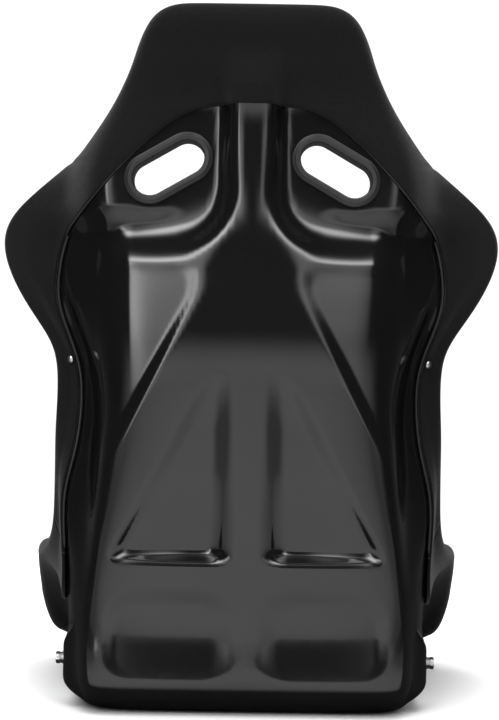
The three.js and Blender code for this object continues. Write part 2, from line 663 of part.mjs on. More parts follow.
const seamX = naturalSpline(
  [0, 2, 5, 6, 7, 8, 9, 10, 11, 12, 13, 14, 15, 16],
  [172, 176, 172, 164, 156, 150, 142, 134, 132, 128, 101, 78, 66, 50]);
const PAD_MARGIN = 5;
const LOOP_THICK = 2;
const LOOP_LIFT = LOOP_THICK;

function loopStrip(side) {
  const strip = new THREE.BoxGeometry(50, 220, LOOP_THICK);
  strip.translate(side * 95, -60, WALL + GAP + LOOP_THICK / 2);
  return strip;
}

// ---------------------------------------------------------------- rear hem trim
function hemTrim(side) {
  const points = [];
  for (let r = 9.2; r <= 15.2; r += 0.5) {
    const point = shellSurface(side * (hemU(r) - 0.014), hemT(r), -(GAP + 3));
    points.push(point);
  }
  const section = new THREE.Shape();
  section.absarc(0, 0, 1.5, 0, 2 * Math.PI, false);
  return new THREE.ExtrudeGeometry(section, {
    steps: 22, curveSegments: 3, bevelEnabled: false, extrudePath: new THREE.CatmullRomCurve3(points),
  });
}

function hemRivet(side) {
  const outline = [[0, 0], [5, 0], [5, 0.8], [3.6, 2.2], [1.8, 2.8], [0, 3]];
  const profile = outline.map(([x, y]) => new THREE.Vector2(x, y));
  const rivet = new THREE.LatheGeometry(profile, 14);
  const r = 12.15;
  const u = side * (hemU(r) + 0.01);
  const place = shellSurface(u, hemT(r), -(SOFT_GAP + COVER_REAR + 3));
  const up = new THREE.Vector3(0, 1, 0);
  const turn = new THREE.Quaternion().setFromUnitVectors(up, mouldNormal(u, hemT(r)));
  rivet.applyQuaternion(turn);
  rivet.translate(place.x, place.y, place.z);
  return rivet;
}

// ---------------------------------------------------------------- assembly
const seat = new THREE.Group();

const finish = (color, roughness, metalness = 0) => () =>
  new THREE.MeshStandardMaterial({ color, roughness, metalness });
const gelcoat = finish('#08080a', 0.08);
const knit = finish('#151517', 0.9);
const moulding = finish('#1b1c1e', 0.45);
const zinc = finish('#b9bcc0', 0.35, 1);
const nylon = finish('#101011', 0.85);

function addPiece(name, geometry, material) {
  const mesh = new THREE.Mesh(geometry, material());
  mesh.name = name;
  seat.add(mesh);
}

const landLength = LAND.rearY - LAND.frontY - 8;

// Box over a side land between two distances from the centre plane, `grow` larger than the land.
function landBox(side, from, to, grow) {
  const box = new THREE.BoxGeometry(to - from, landLength + 2 * grow, 2 * LAND.halfHeight + 2 * grow);
  box.translate(side * (from + to) / 2, (LAND.rearY + LAND.frontY) / 2, LAND.z);
  return box;
}

// The lands are full flat plates of laminate, so that brackets outside and the steel inside seat on them.
function withLands(blank) {
  const sides = [1, -1];
  let solid = toManifold(blank);
  for (const side of sides) {
    solid = solid.add(toManifold(landBox(side, LAND.x - WALL, LAND.x, 0)));
    solid = solid.subtract(toManifold(landBox(side, LAND.x, LAND.x + 14, 0)));
    solid = solid.subtract(toManifold(landBox(side, BOLT.reach - 8, LAND.x - WALL, -1)));
  }
  const holes = sides.flatMap((side) => BOLT_Y.map((y) => sidePlug(side, y, BOLT.hole, 190, 240, 16)));
  return cut(fromManifold(solid), holes);
}

addPiece('shell', cut(withLands(laminate(0)), bothSlots), gelcoat);

// Room in the foam for the steel plate, its nuts and the bolt ends.
const foamPockets = (side) => [
  landBox(side, NUT.to - GAP, LAND.x, 0),
  ...BOLT_Y.map((y) => sidePlug(side, y, NUT.outer + GAP, BOLT.reach - GAP, NUT.to + 2, 16)),
];

addPiece('cover_front_lip', coverSolid(-LIP_SPOKE, LIP_SPOKE, 12, LIP_GAP), knit);
addPiece('cover_head', cut(coverSolid(HEAD_SPOKE, 2 * TOP_SPOKE - HEAD_SPOKE, 16), bothSlots), knit);
for (const [side, hand] of [[-1, 'left'], [1, 'right']]) {
  const range = (from, to) => (side > 0 ? [from, to] : [-to, -from]);
  const thigh = coverSolid(...range(LIP_SPOKE, THIGH_SPOKE), 11);
  addPiece(`thigh_bolster_${hand}`, cut(thigh, foamPockets(side)), knit);
  addPiece(`hip_bolster_${hand}`, coverSolid(...range(THIGH_SPOKE, HIP_SPOKE), 7), knit);
  const wing = coverSolid(...range(HIP_SPOKE, HEAD_SPOKE), 7);
  addPiece(`wing_cover_${hand}`, cut(wing, slotCutters(side)), knit);
  addPiece(`harness_bezel_rear_${hand}`, rearBezel(side), moulding);
  addPiece(`harness_bezel_front_${hand}`, frontBezel(side), moulding);
  addPiece(`hem_trim_${hand}`, hemTrim(side), moulding);
  addPiece(`hem_rivet_${hand}`, hemRivet(side), zinc);
  addPiece(`side_mount_plate_${hand}`, sidePlate(side), zinc);
  addPiece(`cushion_loop_strip_${hand}`, loopStrip(side), nylon);
  BOLT_Y.forEach((y, i) => {
    const end = ['front', 'rear'][i];
    addPiece(`side_bolt_${end}_${hand}`, boltSolid(side, y), zinc);
    addPiece(`flat_washer_${end}_${hand}`,
      ringAlongX(side, y, WASHER.flatOuter, FLAT_START, FLAT_START + WASHER.flatThick), zinc);
    addPiece(`spring_washer_${end}_${hand}`, springWasher(side, y), zinc);
    addPiece(`weld_nut_${end}_${hand}`, ringAlongX(side, y, NUT.outer, NUT.from, NUT.to, 6), zinc);
  });
}
const insideSeam = (station) => seamX(station) - PAD_MARGIN;
const cushionHalf = (station) => mix(166, 142, smoothstep(3.5, 6, station));
addPiece('seat_cushion', padSolid(1.2, 5.8, cushionHalf, 66, 44, LOOP_LIFT, [10, 12]), knit);
addPiece('lower_back_pad', padSolid(7.45, 9.9, insideSeam, 34, 20, 0, [10, 8]), knit);
addPiece('upper_back_pad', padSolid(9.96, 11.9, insideSeam, 32, 20, 0, [10, 8]), knit);
addPiece('head_pad', cut(padSolid(12.0, 14.5, insideSeam, 36, 20, 0, [10, 10]), bothSlots), knit);

export default seat;
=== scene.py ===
"""Racing seat seen from behind: gelcoat shell, wrapped fabric, pads, bezels and hardware.

Shapes are worked out in millimetres in the part's frame (+Z up, the seat faces -Y) and written in metres.
"""
import math

import bmesh
import bpy
import numpy as np
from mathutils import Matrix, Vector


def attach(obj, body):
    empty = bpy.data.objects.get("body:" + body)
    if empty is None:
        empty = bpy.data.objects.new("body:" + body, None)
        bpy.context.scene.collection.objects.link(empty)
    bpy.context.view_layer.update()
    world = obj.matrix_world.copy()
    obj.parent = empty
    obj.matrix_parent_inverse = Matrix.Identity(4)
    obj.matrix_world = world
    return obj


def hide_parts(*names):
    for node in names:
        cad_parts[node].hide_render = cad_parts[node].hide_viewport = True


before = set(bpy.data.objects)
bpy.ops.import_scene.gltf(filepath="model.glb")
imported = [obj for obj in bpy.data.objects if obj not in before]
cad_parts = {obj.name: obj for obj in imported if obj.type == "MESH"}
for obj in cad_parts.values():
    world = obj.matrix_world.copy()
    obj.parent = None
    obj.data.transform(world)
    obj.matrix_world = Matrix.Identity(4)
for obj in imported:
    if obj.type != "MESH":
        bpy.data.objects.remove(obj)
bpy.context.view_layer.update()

MM = 0.001

# ---------------------------------------------------------------- driving dimensions, as in the CAD
WALL = 5.0
GAP = 0.45
SOFT_GAP = 3.0
COVER_EDGE = 8.0
COVER_REAR = 4.0
RIM_BUILD_UP = WALL / 2 + SOFT_GAP + COVER_EDGE
SLOT_X, SLOT_Z, SLOT_LENGTH, SLOT_WIDTH = 98.0, 642.0, 90.0, 40.0
SLOT_TILT = math.pi / 6
SLOT_REAR_Y, SLOT_FRONT_Y, SLOT_BLEND = 206.0, 160.0, 16.0
BEZEL_FACE, BEZEL_THICK, SLEEVE_WALL = 10.0, 7.0, 3.0
SLOT_ZONE = 80.0
LAND_X, LAND_Z, LAND_HALF, LAND_BLEND = 219.0, 54.0, 18.0, 30.0
LAND_FRONT, LAND_REAR = -214.0, 124.0
SHELF_Z, BLADE_Z, SPINE_HALF = 573.0, 526.0, 17.0
PLATE_THICK = 3.0

# A style climbs from the flat body (0) over the side wall (1) to the rim (2), with its share of the depth.
STYLES = {
    "lip": ((0.6, 0.05), (1, 0.3), (1.4, 0.6), (1.76, 0.85)),
    "pan": ((0.62, 0), (1, 0.12), (1.03, 0.5), (1.35, 0.85)),
    "waist": ((0.16, 0.06), (0.4, 0.35), (0.68, 0.72), (1.24, 0.9)),
    "wing": ((0.3, 0.05), (0.68, 0.32), (1.1, 0.58), (1.6, 0.85)),
    "head": ((0.7, 0.04), (1.4, 0.2), (1.8, 0.5), (1.96, 0.8)),
}
# One section of the seat per row, from the front lip under the hips and up the back to the head:
# centre y, z; rim y, z; flat half width; wall half width or None; upholstered half width; the two styles
# that it lies between.
STATIONS = (
    (-300, 20, -288, 54, 170, 210, 272, "lip", "lip"),
    (-280, 9, -262, 96, 172, 214, 282, "lip", "pan"),
    (-255, -1, -214, 138, 175, 217, 283, "pan", "pan"),
    (-170, -2, -130, 163, 175, 218, 276, "pan", "pan"),
    (-60, -2, -50, 172, 175, 218, 267, "pan", "pan"),
    (60, -2, 20, 184, 175, 218, 252, "pan", "pan"),
    (150, -1, 56, 225, 182, 219, 242, "pan", "waist"),
    (184, 16, 68, 290, 186, 226, 240, "waist", "waist"),
    (190, 90, 72, 360, 184, 208, 240, "waist", "waist"),
    (205, 210, 70, 425, 172, 192, 244, "waist", "waist"),
    (223, 350, 62, 485, 148, None, 278, "waist", "wing"),
    (231, 470, 58, 548, 148, None, 306, "wing", "wing"),
    (214, 590, 76, 602, 150, None, 284, "wing", "wing"),
    (206, 680, 110, 650, 130, None, 222, "wing", "head"),
    (216, 750, 146, 700, 100, None, 172, "head", "head"),
    (230, 800, 170, 748, 85, None, 149, "head", "head"),
    (226, 820, 182, 790, 80, None, 134, "head", "head"),
    (198, 825, 186, 811, 75, None, 115, "head", "head"),
)
LAST = len(STATIONS) - 1


# ---------------------------------------------------------------- small mathematics
def mix(a, b, share):
    return a + (b - a) * share


def smoothstep(low, high, value):
    t = np.clip((value - low) / (high - low), 0, 1)
    return t * t * (3 - 2 * t)


def smooth_min(a, b, radius):
    """Lesser of two signed distances, with a fillet of about the given radius where they meet."""
    h = np.maximum(radius - np.abs(a - b), 0) / radius
    return np.minimum(a, b) - h * h * radius / 4


def smooth_max(a, b, radius):
    return -smooth_min(-a, -b, radius)


def natural_spline(knots, values):
    """Natural cubic spline through values[i] at knots[i]. The values may carry further axes."""
    knots, values = np.asarray(knots, float), np.asarray(values, float)
    count, steps = len(knots), np.diff(knots)
    system, right = np.eye(count), np.zeros_like(values)
    for i in range(1, count - 1):
        system[i, i - 1 : i + 2] = steps[i - 1], 2 * (steps[i - 1] + steps[i]), steps[i]
        turn = (values[i + 1] - values[i]) / steps[i] - (values[i] - values[i - 1]) / steps[i - 1]
        right[i] = 6 * turn
    bend = np.linalg.solve(system, right.reshape(count, -1)).reshape(values.shape)
    extra = (1,) * (values.ndim - 1)

    def evaluate(t):
        t = np.asarray(t, float)
        i = np.clip(np.searchsorted(knots, t, side="right") - 1, 0, count - 2)
        span = steps[i].reshape(t.shape + extra)
        b = np.clip((t - knots[i]) / steps[i], 0, 1).reshape(t.shape + extra)
        a = 1 - b
        curve = (a**3 - a) * bend[i] + (b**3 - b) * bend[i + 1]
        return a * values[i] + b * values[i + 1] + curve * span**2 / 6

    return evaluate


def spline_weights(u, count):
    """Clamped uniform cubic B-spline weights, one row per value of u in [0, 1]."""
    spans = count - 3
    knots = np.clip(np.arange(count + 4) - 3, 0, spans) / spans
    span = np.minimum((u * spans).astype(int), spans - 1) + 3
    weights = np.zeros((len(u), count + 3))
    weights[np.arange(len(u)), span] = 1
    for degree in range(1, 4):
        for i in range(count + 3 - degree):
            left, right = knots[i + degree] - knots[i], knots[i + degree + 1] - knots[i + 1]
            rising = (u - knots[i]) / left * weights[:, i] if left > 0 else 0
            falling = (knots[i + degree + 1] - u) / right * weights[:, i + 1] if right > 0 else 0
            weights[:, i] = rising + falling
    return weights[:, :count]


# ---------------------------------------------------------------- the mould surface
def control_columns(station):
    """Eight control points of one section, from the centre line to the rim."""
    centre_y, centre_z, rim_y, rim_z, body, wall, width, first, second = station
    rim_x = width - RIM_BUILD_UP
    wall_x = (body + rim_x) / 2 if wall is None else wall
    pairs = zip(STYLES[first], STYLES[second])
    climbs = [(mix(a[0], b[0], 0.5), mix(a[1], b[1], 0.5)) for a, b in pairs]
    side = [
        (mix(body, wall_x, a) if a < 1 else mix(wall_x, rim_x, a - 1), share)
        for a, share in (*climbs, (2, 1))
    ]
    flat = [(share * body, 0) for share in (0, 0.5, 0.92)]
    return [(x, mix(centre_y, rim_y, share), mix(centre_z, rim_z, share)) for x, share in (*flat, *side)]


def station_knots():
    """Length parameter of each station: the mean distance travelled by the centre line and the rim."""
    places = np.array([station[:4] for station in STATIONS], float)
    steps = np.diff(places, axis=0)
    lengths = (np.hypot(steps[:, 0], steps[:, 1]) + np.hypot(steps[:, 2], steps[:, 3])) / 2
    return np.concatenate([[0], np.cumsum(lengths)])


KNOTS = station_knots()
COLUMNS = natural_spline(KNOTS, [control_columns(station) for station in STATIONS])


def along(station):
    """Length parameter of a fractional station number."""
    return np.interp(station, np.arange(LAST + 1), KNOTS)


def mould(u, t):
    """Points of the mould at u (-1 left rim, 0 centre, 1 right rim) and length parameter t."""
    u, t = np.broadcast_arrays(np.asarray(u, float), np.asarray(t, float))
    shape, u, t = u.shape, u.ravel(), t.ravel()
    weights = spline_weights(np.minimum(np.abs(u), 1), 8)
    points = np.einsum("nk,nkc->nc", weights, COLUMNS(t))
    points[:, 0] *= np.sign(u)
    points[:, 2] = np.maximum(points[:, 2], 0)
    return points.reshape(shape + (3,))


def unit(vectors):
    return vectors / np.maximum(np.linalg.norm(vectors, axis=-1, keepdims=True), 1e-9)


def mould_normal(u, t):
    du, dt = 0.004, 1.5
    across = mould(np.minimum(u + du, 1), t) - mould(np.maximum(u - du, -1), t)
    up = mould(u, np.minimum(t + dt, KNOTS[-1])) - mould(u, np.maximum(t - dt, 0))
    return unit(np.cross(up, across))


# ---------------------------------------------------------------- the moulded back
def line_side(x, z, p, q):
    """Signed distance to the line from p to q, positive on its left."""
    length = math.hypot(q[0] - p[0], q[1] - p[1])
    return ((q[0] - p[0]) * (z - p[1]) - (q[1] - p[1]) * (x - p[0])) / length


def rounded_box(x, z, centre, half, radius):
    """Signed distance to a box with rounded corners."""
    dx = np.abs(x - centre[0]) - half[0] + radius
    dz = np.abs(z - centre[1]) - half[1] + radius
    outside = np.hypot(np.maximum(dx, 0), np.maximum(dz, 0))
    return outside + np.minimum(np.maximum(dx, dz), 0) - radius


def inside_edge(distance):
    """Share of a recess's depth at a signed distance from its outline, with a soft wall."""
    return smoothstep(RECESS_WALL, -RECESS_WALL, distance)


# The moulded back in the rear view. Points are (half width, z) and depths are in Y.
body_half = natural_spline([0, 130, 250, 400, 560, 660, 760, 840], [200, 194, 176, 150, 150, 134, 100, 80])
CREST, CREST_AT_SLOTS, CREST_AT_FOOT = 14, 12, 3.5
SPINE_FLANK, SHELF_CORNER = 9, 48
RECESS_WALL = 7
BODY_EDGE, BLADE_CORNER = ((52, 520), (148, 336)), 40
BLADE_DEPTH, BLADE_TOP_DEPTH, BLADE_LOW_Z = 8, 3, 350
TRIANGLE_LINE, TRIANGLE_CORNER, TRIANGLE_FOOT_CORNER = ((40, 402), (150, 200)), 16, 14
TRIANGLE_INNER_X, TRIANGLE_LOW_Z = 30, 186
TRIANGLE_DEPTH, TRIANGLE_LOW_DEPTH = 9, 20
PANEL_CENTRE, PANEL_HALF, PANEL_RADIUS, PANEL_DEPTH = (92, 90), (70, 52), 34, 4
PANEL_TOP_Z, PANEL_HEIGHT = 142, 104
FALL_START, FALL_RATE, FALL_SPAN = 4, 0.15, 120
ROUND_RATE, ROUND_FROM, ROUND_SPAN = 0.005, 138, 45


def into_body(x, z):
    """Signed distance past the slanted edge of the A-shaped body, positive inside the body."""
    return -line_side(x, z, *BODY_EDGE)


def crest_height(x, z):
    """The spine, and the body below the shelf, which run into each other in one wide fillet."""
    beside_spine = smoothstep(20, 90, x)
    outside = smooth_min(x - SPINE_HALF - SPINE_FLANK, z - SHELF_Z, SHELF_CORNER)
    crest = CREST + CREST_AT_SLOTS * smoothstep(500, 680, z) + CREST_AT_FOOT * smoothstep(150, 20, z)
    share = smoothstep(mix(20, 9, beside_spine), mix(-8, -44, beside_spine), outside)
    return crest * share ** mix(1.6, 1, beside_spine)


def blade_recess(x, z):
    """Hollow field below the shelf, beside the A-shaped body."""
    blade = smooth_max(z - BLADE_Z, into_body(x, z), BLADE_CORNER)
    low_end = smoothstep(290, BLADE_LOW_Z, z)
    depth = mix(BLADE_DEPTH, BLADE_TOP_DEPTH, smoothstep(BLADE_LOW_Z, BLADE_Z, z)) * low_end
    return depth * inside_edge(blade)


def triangle_recess(x, z):
    """Three-sided hollow on each side of the spine, deepest along its foot."""
    foot = smooth_max(TRIANGLE_INNER_X - x, TRIANGLE_LOW_Z - z, TRIANGLE_FOOT_CORNER)
    triangle = smooth_max(foot, line_side(x, z, *TRIANGLE_LINE), TRIANGLE_CORNER)
    depth = mix(TRIANGLE_DEPTH, TRIANGLE_LOW_DEPTH, smoothstep(290, 195, z))
    depth = depth * smoothstep(415, 340, z) * (1 - 0.45 * smoothstep(60, 150, x))
    return depth * inside_edge(triangle)


def panel_recess(x, z):
    """Shallow rounded panel at the foot, whose depth fades towards its lower edge."""
    panel = rounded_box(x, z, PANEL_CENTRE, PANEL_HALF, PANEL_RADIUS)
    below_top = np.clip((PANEL_TOP_Z - z) / PANEL_HEIGHT, 0, 1)
    return PANEL_DEPTH * (1 - below_top**2) * smoothstep(9, -11, panel)


def relief(side_x, z):
    """How far the back stands out of the mould, in +Y, at a point of the rear view."""
    x = np.abs(side_x)
    height = crest_height(x, z) - blade_recess(x, z) - triangle_recess(x, z) - panel_recess(x, z)
    edge = body_half(z)
    fade = 1 - smoothstep(edge - 10, edge + 40, x)
    height = height * fade * smoothstep(8, 36, z) * (1 - smoothstep(735, 790, z))
    away = np.maximum(-into_body(x, z) - FALL_START, 0)
    rounding = ROUND_RATE * np.clip(x - ROUND_FROM, 0, ROUND_SPAN) ** 2
    falling = FALL_RATE * np.minimum(away, FALL_SPAN) + rounding * smoothstep(0, 30, away)
    return height - falling * smoothstep(290, 360, z) * smoothstep(600, 556, z)


def relief_at(points):
    """The relief at points of the shell, which fades out where the shell turns forward."""
    return relief(points[..., 0], points[..., 2]) * smoothstep(80, 135, points[..., 1])


def slot_distance(side_x, z, grow):
    """Signed distance to the slot's outline grown by `grow`."""
    dx, dz = np.abs(side_x) - SLOT_X, z - SLOT_Z
    along_slot = dx * math.cos(SLOT_TILT) - dz * math.sin(SLOT_TILT)
    across_slot = dx * math.sin(SLOT_TILT) + dz * math.cos(SLOT_TILT)
    straight = (SLOT_LENGTH - SLOT_WIDTH) / 2
    return np.hypot(np.maximum(np.abs(along_slot) - straight, 0), across_slot) - SLOT_WIDTH / 2 - grow


def settle(points, depth):
    """Levels the zone round the harness slots before the ribs are raised on it."""
    x, y, z = (points[..., k] for k in range(3))
    zone = smoothstep(SLOT_ZONE, 10, slot_distance(x, z, BEZEL_FACE)) * smoothstep(100, 150, y)
    points[..., 1] = mix(y, SLOT_REAR_Y - depth, zone)
    return points


def flatten(points, depth):
    """Flat lands behind the harness slots and down each side at the mounting bolts."""
    x, y, z = (points[..., k].copy() for k in range(3))
    slot_land = smoothstep(SLOT_BLEND, 2, slot_distance(x, z, BEZEL_FACE)) * (y > 100)
    points[..., 1] = mix(y, SLOT_REAR_Y - depth, slot_land)
    past_ends = np.maximum(LAND_FRONT - points[..., 1], points[..., 1] - LAND_REAR)
    beyond = np.maximum(np.abs(z - LAND_Z) - LAND_HALF, past_ends)
    side_land = smoothstep(LAND_BLEND, 0, beyond) * (np.abs(x) > 150)
    points[..., 0] = mix(x, np.sign(x) * (LAND_X - depth), side_land)
    return points


def shell_surface(u, t, depth):
    """Points of the shell at a depth below its rear face."""
    points = mould(u, t)
    rise = relief_at(points)
    points = settle(points - mould_normal(u, t) * np.asarray(depth)[..., None], depth)
    points[..., 1] += rise
    points[..., 2] = np.maximum(points[..., 2], depth)
    return flatten(points, depth)


def pad_surface(u, t, depth):
    """Points on the foam's side of the shell, which bridges its raised ribs."""
    inset = WALL + SOFT_GAP + np.asarray(depth, float)
    points = mould(u, t) - mould_normal(u, t) * inset[..., None]
    points[..., 2] = np.maximum(points[..., 2], inset)
    points = settle(points, inset)
    land = flatten(points.copy(), inset + PLATE_THICK)
    points[..., 0] = np.sign(points[..., 0]) * np.minimum(np.abs(points[..., 0]), np.abs(land[..., 0]))
    points[..., 1] = np.minimum(points[..., 1], land[..., 1])
    points[..., 1] += np.minimum(relief_at(points), 0)
    return points


# ---------------------------------------------------------------- meshes
def new_object(name, vertices, faces, material, smooth=True):
    mesh = bpy.data.meshes.new(name)
    corners = (np.asarray(vertices, float) * MM).tolist()
    mesh.from_pydata(corners, [], [list(map(int, face)) for face in faces])
    mesh.materials.append(material)
    mesh.validate()
    obj = bpy.data.objects.new(name, mesh)
    bpy.context.scene.collection.objects.link(obj)
    if smooth:
        mesh.shade_smooth()
    return obj


def face_out(obj):
    """Turns all the faces of a closed mesh outwards."""
    work = bmesh.new()
    work.from_mesh(obj.data)
    bmesh.ops.recalc_face_normals(work, faces=work.faces)
    if work.calc_volume(signed=True) < 0:
        bmesh.ops.reverse_faces(work, faces=work.faces)
    work.to_mesh(obj.data)
    work.free()
    return obj


def grid_faces(rows, columns, wrap_rows=False, wrap_columns=False, start=0):
    """Quads over a grid of vertices stored row by row."""
    i = np.arange(rows if wrap_rows else rows - 1)
    j = np.arange(columns if wrap_columns else columns - 1)
    i, j = (a.ravel() for a in np.meshgrid(i, j, indexing="ij"))
    here, above = i * columns, (i + 1) % rows * columns
    right = (j + 1) % columns
    return start + np.stack([here + j, here + right, above + right, above + j], axis=1)


def sheet_solid(name, outside, inside, material):
    """Closed solid between two matching grids of points."""
    rows, columns = outside.shape[:2]
    count = rows * columns
    vertices = np.concatenate([outside.reshape(-1, 3), inside.reshape(-1, 3)])
    faces = [grid_faces(rows, columns), grid_faces(rows, columns, start=count)[:, ::-1]]
    ids = np.arange(count).reshape(rows, columns)
    for edge in (ids[0, ::-1], ids[-1], ids[:, 0], ids[::-1, -1]):
        a, b = edge[:-1], edge[1:]
        faces.append(np.stack([a, b, b + count, a + count], axis=1))
    return face_out(new_object(name, vertices, np.concatenate(faces), material))


def add_modifier(obj, kind, **settings):
    modifier = obj.modifiers.new(kind.lower(), kind)
    for key, value in settings.items():
        setattr(modifier, key, value)
    return modifier


def apply_modifiers(obj):
    bpy.context.view_layer.update()
    evaluated = obj.evaluated_get(bpy.context.evaluated_depsgraph_get())
    mesh = bpy.data.meshes.new_from_object(evaluated)
    old = obj.data
    obj.modifiers.clear()
    obj.data = mesh
    mesh.name = old.name
    bpy.data.meshes.remove(old)
    return obj


def finish_piece(obj, slot_name, *nodes):
    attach(obj, "root")
    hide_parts(*nodes)


# ---------------------------------------------------------------- materials
class Nodes:
    """Short way to add and link shader nodes in one material."""

    def __init__(self, name):
        self.material = bpy.data.materials.new(name)
        self.material.use_nodes = True
        self.tree = self.material.node_tree
        self.shader = self.tree.nodes["Principled BSDF"]
        self.position = self.add("ShaderNodeTexCoord").outputs["Object"]

    def add(self, kind, inputs=None, **settings):
        node = self.tree.nodes.new(kind)
        for key, value in settings.items():
            setattr(node, key, value)
        for key, value in (inputs or {}).items():
            if isinstance(value, bpy.types.NodeSocket):
                self.tree.links.new(value, node.inputs[key])
            else:
                node.inputs[key].default_value = value
        return node

    def set(self, **values):
        for key, value in values.items():
            self.shader.inputs[key.replace("_", " ")].default_value = value

    def link(self, output, socket):
        self.tree.links.new(output, self.shader.inputs[socket])

    def noise(self, scale, detail=3.0, roughness=0.5):
        inputs = {"Vector": self.position, "Scale": scale, "Detail": detail, "Roughness": roughness}
        return self.add("ShaderNodeTexNoise", inputs).outputs["Fac"]

    def ramp(self, value, low, high, start=0.3, end=0.7):
        inputs = {"Value": value, "From Min": start, "From Max": end, "To Min": low, "To Max": high}
        return self.add("ShaderNodeMapRange", inputs).outputs["Result"]

    def shade(self, value, dark, light):
        """Colour between two others, which a mix node keeps at inputs 6 and 7, with its result at 2."""
        mixer = self.add("ShaderNodeMix", data_type="RGBA")
        self.tree.links.new(value, mixer.inputs["Factor"])
        for key, colour in ((6, dark), (7, light)):
            mixer.inputs[key].default_value = (*colour, 1)
        return mixer.outputs[2]

    def bump(self, height, strength, distance):
        inputs = {"Height": height, "Strength": strength, "Distance": distance}
        self.link(self.add("ShaderNodeBump", inputs).outputs["Normal"], "Normal")


def gelcoat_material():
    m = Nodes("gelcoat")
    m.set(IOR=1.5, Coat_Weight=0.5, Coat_Roughness=0.04, Coat_IOR=1.5)
    m.link(m.shade(m.noise(14), (0.0035, 0.0035, 0.0038), (0.0065, 0.0065, 0.007)), "Base Color")
    m.link(m.ramp(m.noise(220, 4), 0.09, 0.15), "Roughness")
    m.bump(m.noise(90, 1), 0.12, 0.0004)
    return m.material


def knit_material():
    m = Nodes("knit")
    m.set(Roughness=0.95, Sheen_Weight=0.14, Sheen_Roughness=0.35, Specular_IOR_Level=0.2)
    stitches = m.add("ShaderNodeTexVoronoi", {"Vector": m.position, "Scale": 900.0, "Randomness": 0.6})
    cells = stitches.outputs["Distance"]
    depth = m.ramp(cells, 0, 1, 0.1, 0.6)
    m.link(m.shade(depth, (0.010, 0.010, 0.0106), (0.0035, 0.0035, 0.0038)), "Base Color")
    height = m.add("ShaderNodeMath", {0: cells, 1: m.noise(350, 4)}, operation="ADD")
    m.bump(height.outputs[0], 0.55, 0.0007)
    return m.material


def moulding_material(name, roughness):
    m = Nodes(name)
    m.link(m.shade(m.noise(30), (0.010, 0.010, 0.011), (0.016, 0.016, 0.017)), "Base Color")
    m.link(m.ramp(m.noise(600, 4), roughness - 0.06, roughness + 0.06), "Roughness")
    m.bump(m.noise(1500, 2), 0.2, 0.0002)
    return m.material


def zinc_material():
    m = Nodes("zinc")
    m.set(Metallic=1.0)
    m.link(m.shade(m.noise(160), (0.52, 0.53, 0.55), (0.72, 0.72, 0.71)), "Base Color")
    m.link(m.ramp(m.noise(900, 4), 0.22, 0.42), "Roughness")
    m.bump(m.noise(2500, 2), 0.15, 0.0001)
    return m.material


GELCOAT = gelcoat_material()
KNIT = knit_material()
MOULDING = moulding_material("moulding", 0.38)
TRIM = moulding_material("trim_rubber", 0.5)
ZINC = zinc_material()
NYLON = moulding_material("nylon_loop", 0.85)


# ---------------------------------------------------------------- camera, light and floor
CAMERA_Y, EYE_Z = 2800.0, 419.0
LENS, SENSOR_WIDTH, ROLL = 111.0, 36.0, math.radians(-0.9)


def make_camera():
    data = bpy.data.cameras.new("camera")
    data.lens = LENS
    data.sensor_width = SENSOR_WIDTH
    camera = bpy.data.objects.new("camera", data)
    bpy.context.scene.collection.objects.link(camera)
    camera.location = Vector((0, CAMERA_Y, EYE_Z)) * MM
    camera.rotation_euler = (math.pi / 2, ROLL, math.pi)
    bpy.context.scene.camera = camera


def softbox(name, place, target, width, height, power):
    data = bpy.data.lights.new(name, "AREA")
    data.shape = "RECTANGLE"
    data.size, data.size_y = width, height
    data.energy = power
    light = bpy.data.objects.new(name, data)
    light.location = place
    light.rotation_euler = (Vector(target) - Vector(place)).to_track_quat("-Z", "Y").to_euler()
    light.visible_camera = light.visible_glossy = False
    bpy.context.scene.collection.objects.link(light)


# Soft studio boxes round the seat, as seen from it: azimuth from +Y towards +X and elevation, half width
# and half height, all in degrees, and brightness where white paper is 1.
GLOWS = (
    (31, 12, 6, 20, 4.0),
    (20, 12, 10, 20, 1.7),
    (-20, 12, 10, 20, 1.3),
    (28, 44, 11, 16, 8.0),
    (-28, 44, 11, 16, 6.5),
    (180, 10, 26, 40, 0.12),
)
GLOW_EDGE = 2.6          # the higher, the sharper a softbox ends
ROOM_GLOW = 0.012
FLOOR_GLOW = 1.0
HORIZON = (0.02, -0.17)  # upward share of a direction where the floor's glow starts and is full
PAPER = 1.1


def math_node(tree, operation, *values):
    node = tree.nodes.new("ShaderNodeMath")
    node.operation = operation
    for socket, value in zip(node.inputs, values):
        if isinstance(value, bpy.types.NodeSocket):
            tree.links.new(value, socket)
        else:
            socket.default_value = value
    return node.outputs[0]


def dot_node(tree, direction, axis):
    node = tree.nodes.new("ShaderNodeVectorMath")
    node.operation = "DOT_PRODUCT"
    tree.links.new(direction, node.inputs[0])
    node.inputs[1].default_value = axis
    return node.outputs["Value"]


def glow_node(tree, direction, azimuth, elevation, half_width, half_height, brightness):
    """Brightness of one softbox in a direction, which fades smoothly at its edges."""
    a, e = math.radians(azimuth), math.radians(elevation)
    centre = (math.sin(a) * math.cos(e), math.cos(a) * math.cos(e), math.sin(e))
    across = (math.cos(a), -math.sin(a), 0)
    up = (-math.sin(a) * math.sin(e), -math.cos(a) * math.sin(e), math.cos(e))
    facing = math_node(tree, "GREATER_THAN", dot_node(tree, direction, centre), 0.0)
    terms = []
    for axis, half in ((across, half_width), (up, half_height)):
        part = math_node(tree, "DIVIDE", dot_node(tree, direction, axis), math.sin(math.radians(half)))
        terms.append(math_node(tree, "POWER", math_node(tree, "ABSOLUTE", part), GLOW_EDGE))
    fall = math_node(tree, "EXPONENT", math_node(tree, "MULTIPLY", math_node(tree, "ADD", *terms), -1.0))
    return math_node(tree, "MULTIPLY", math_node(tree, "MULTIPLY", fall, facing), brightness)


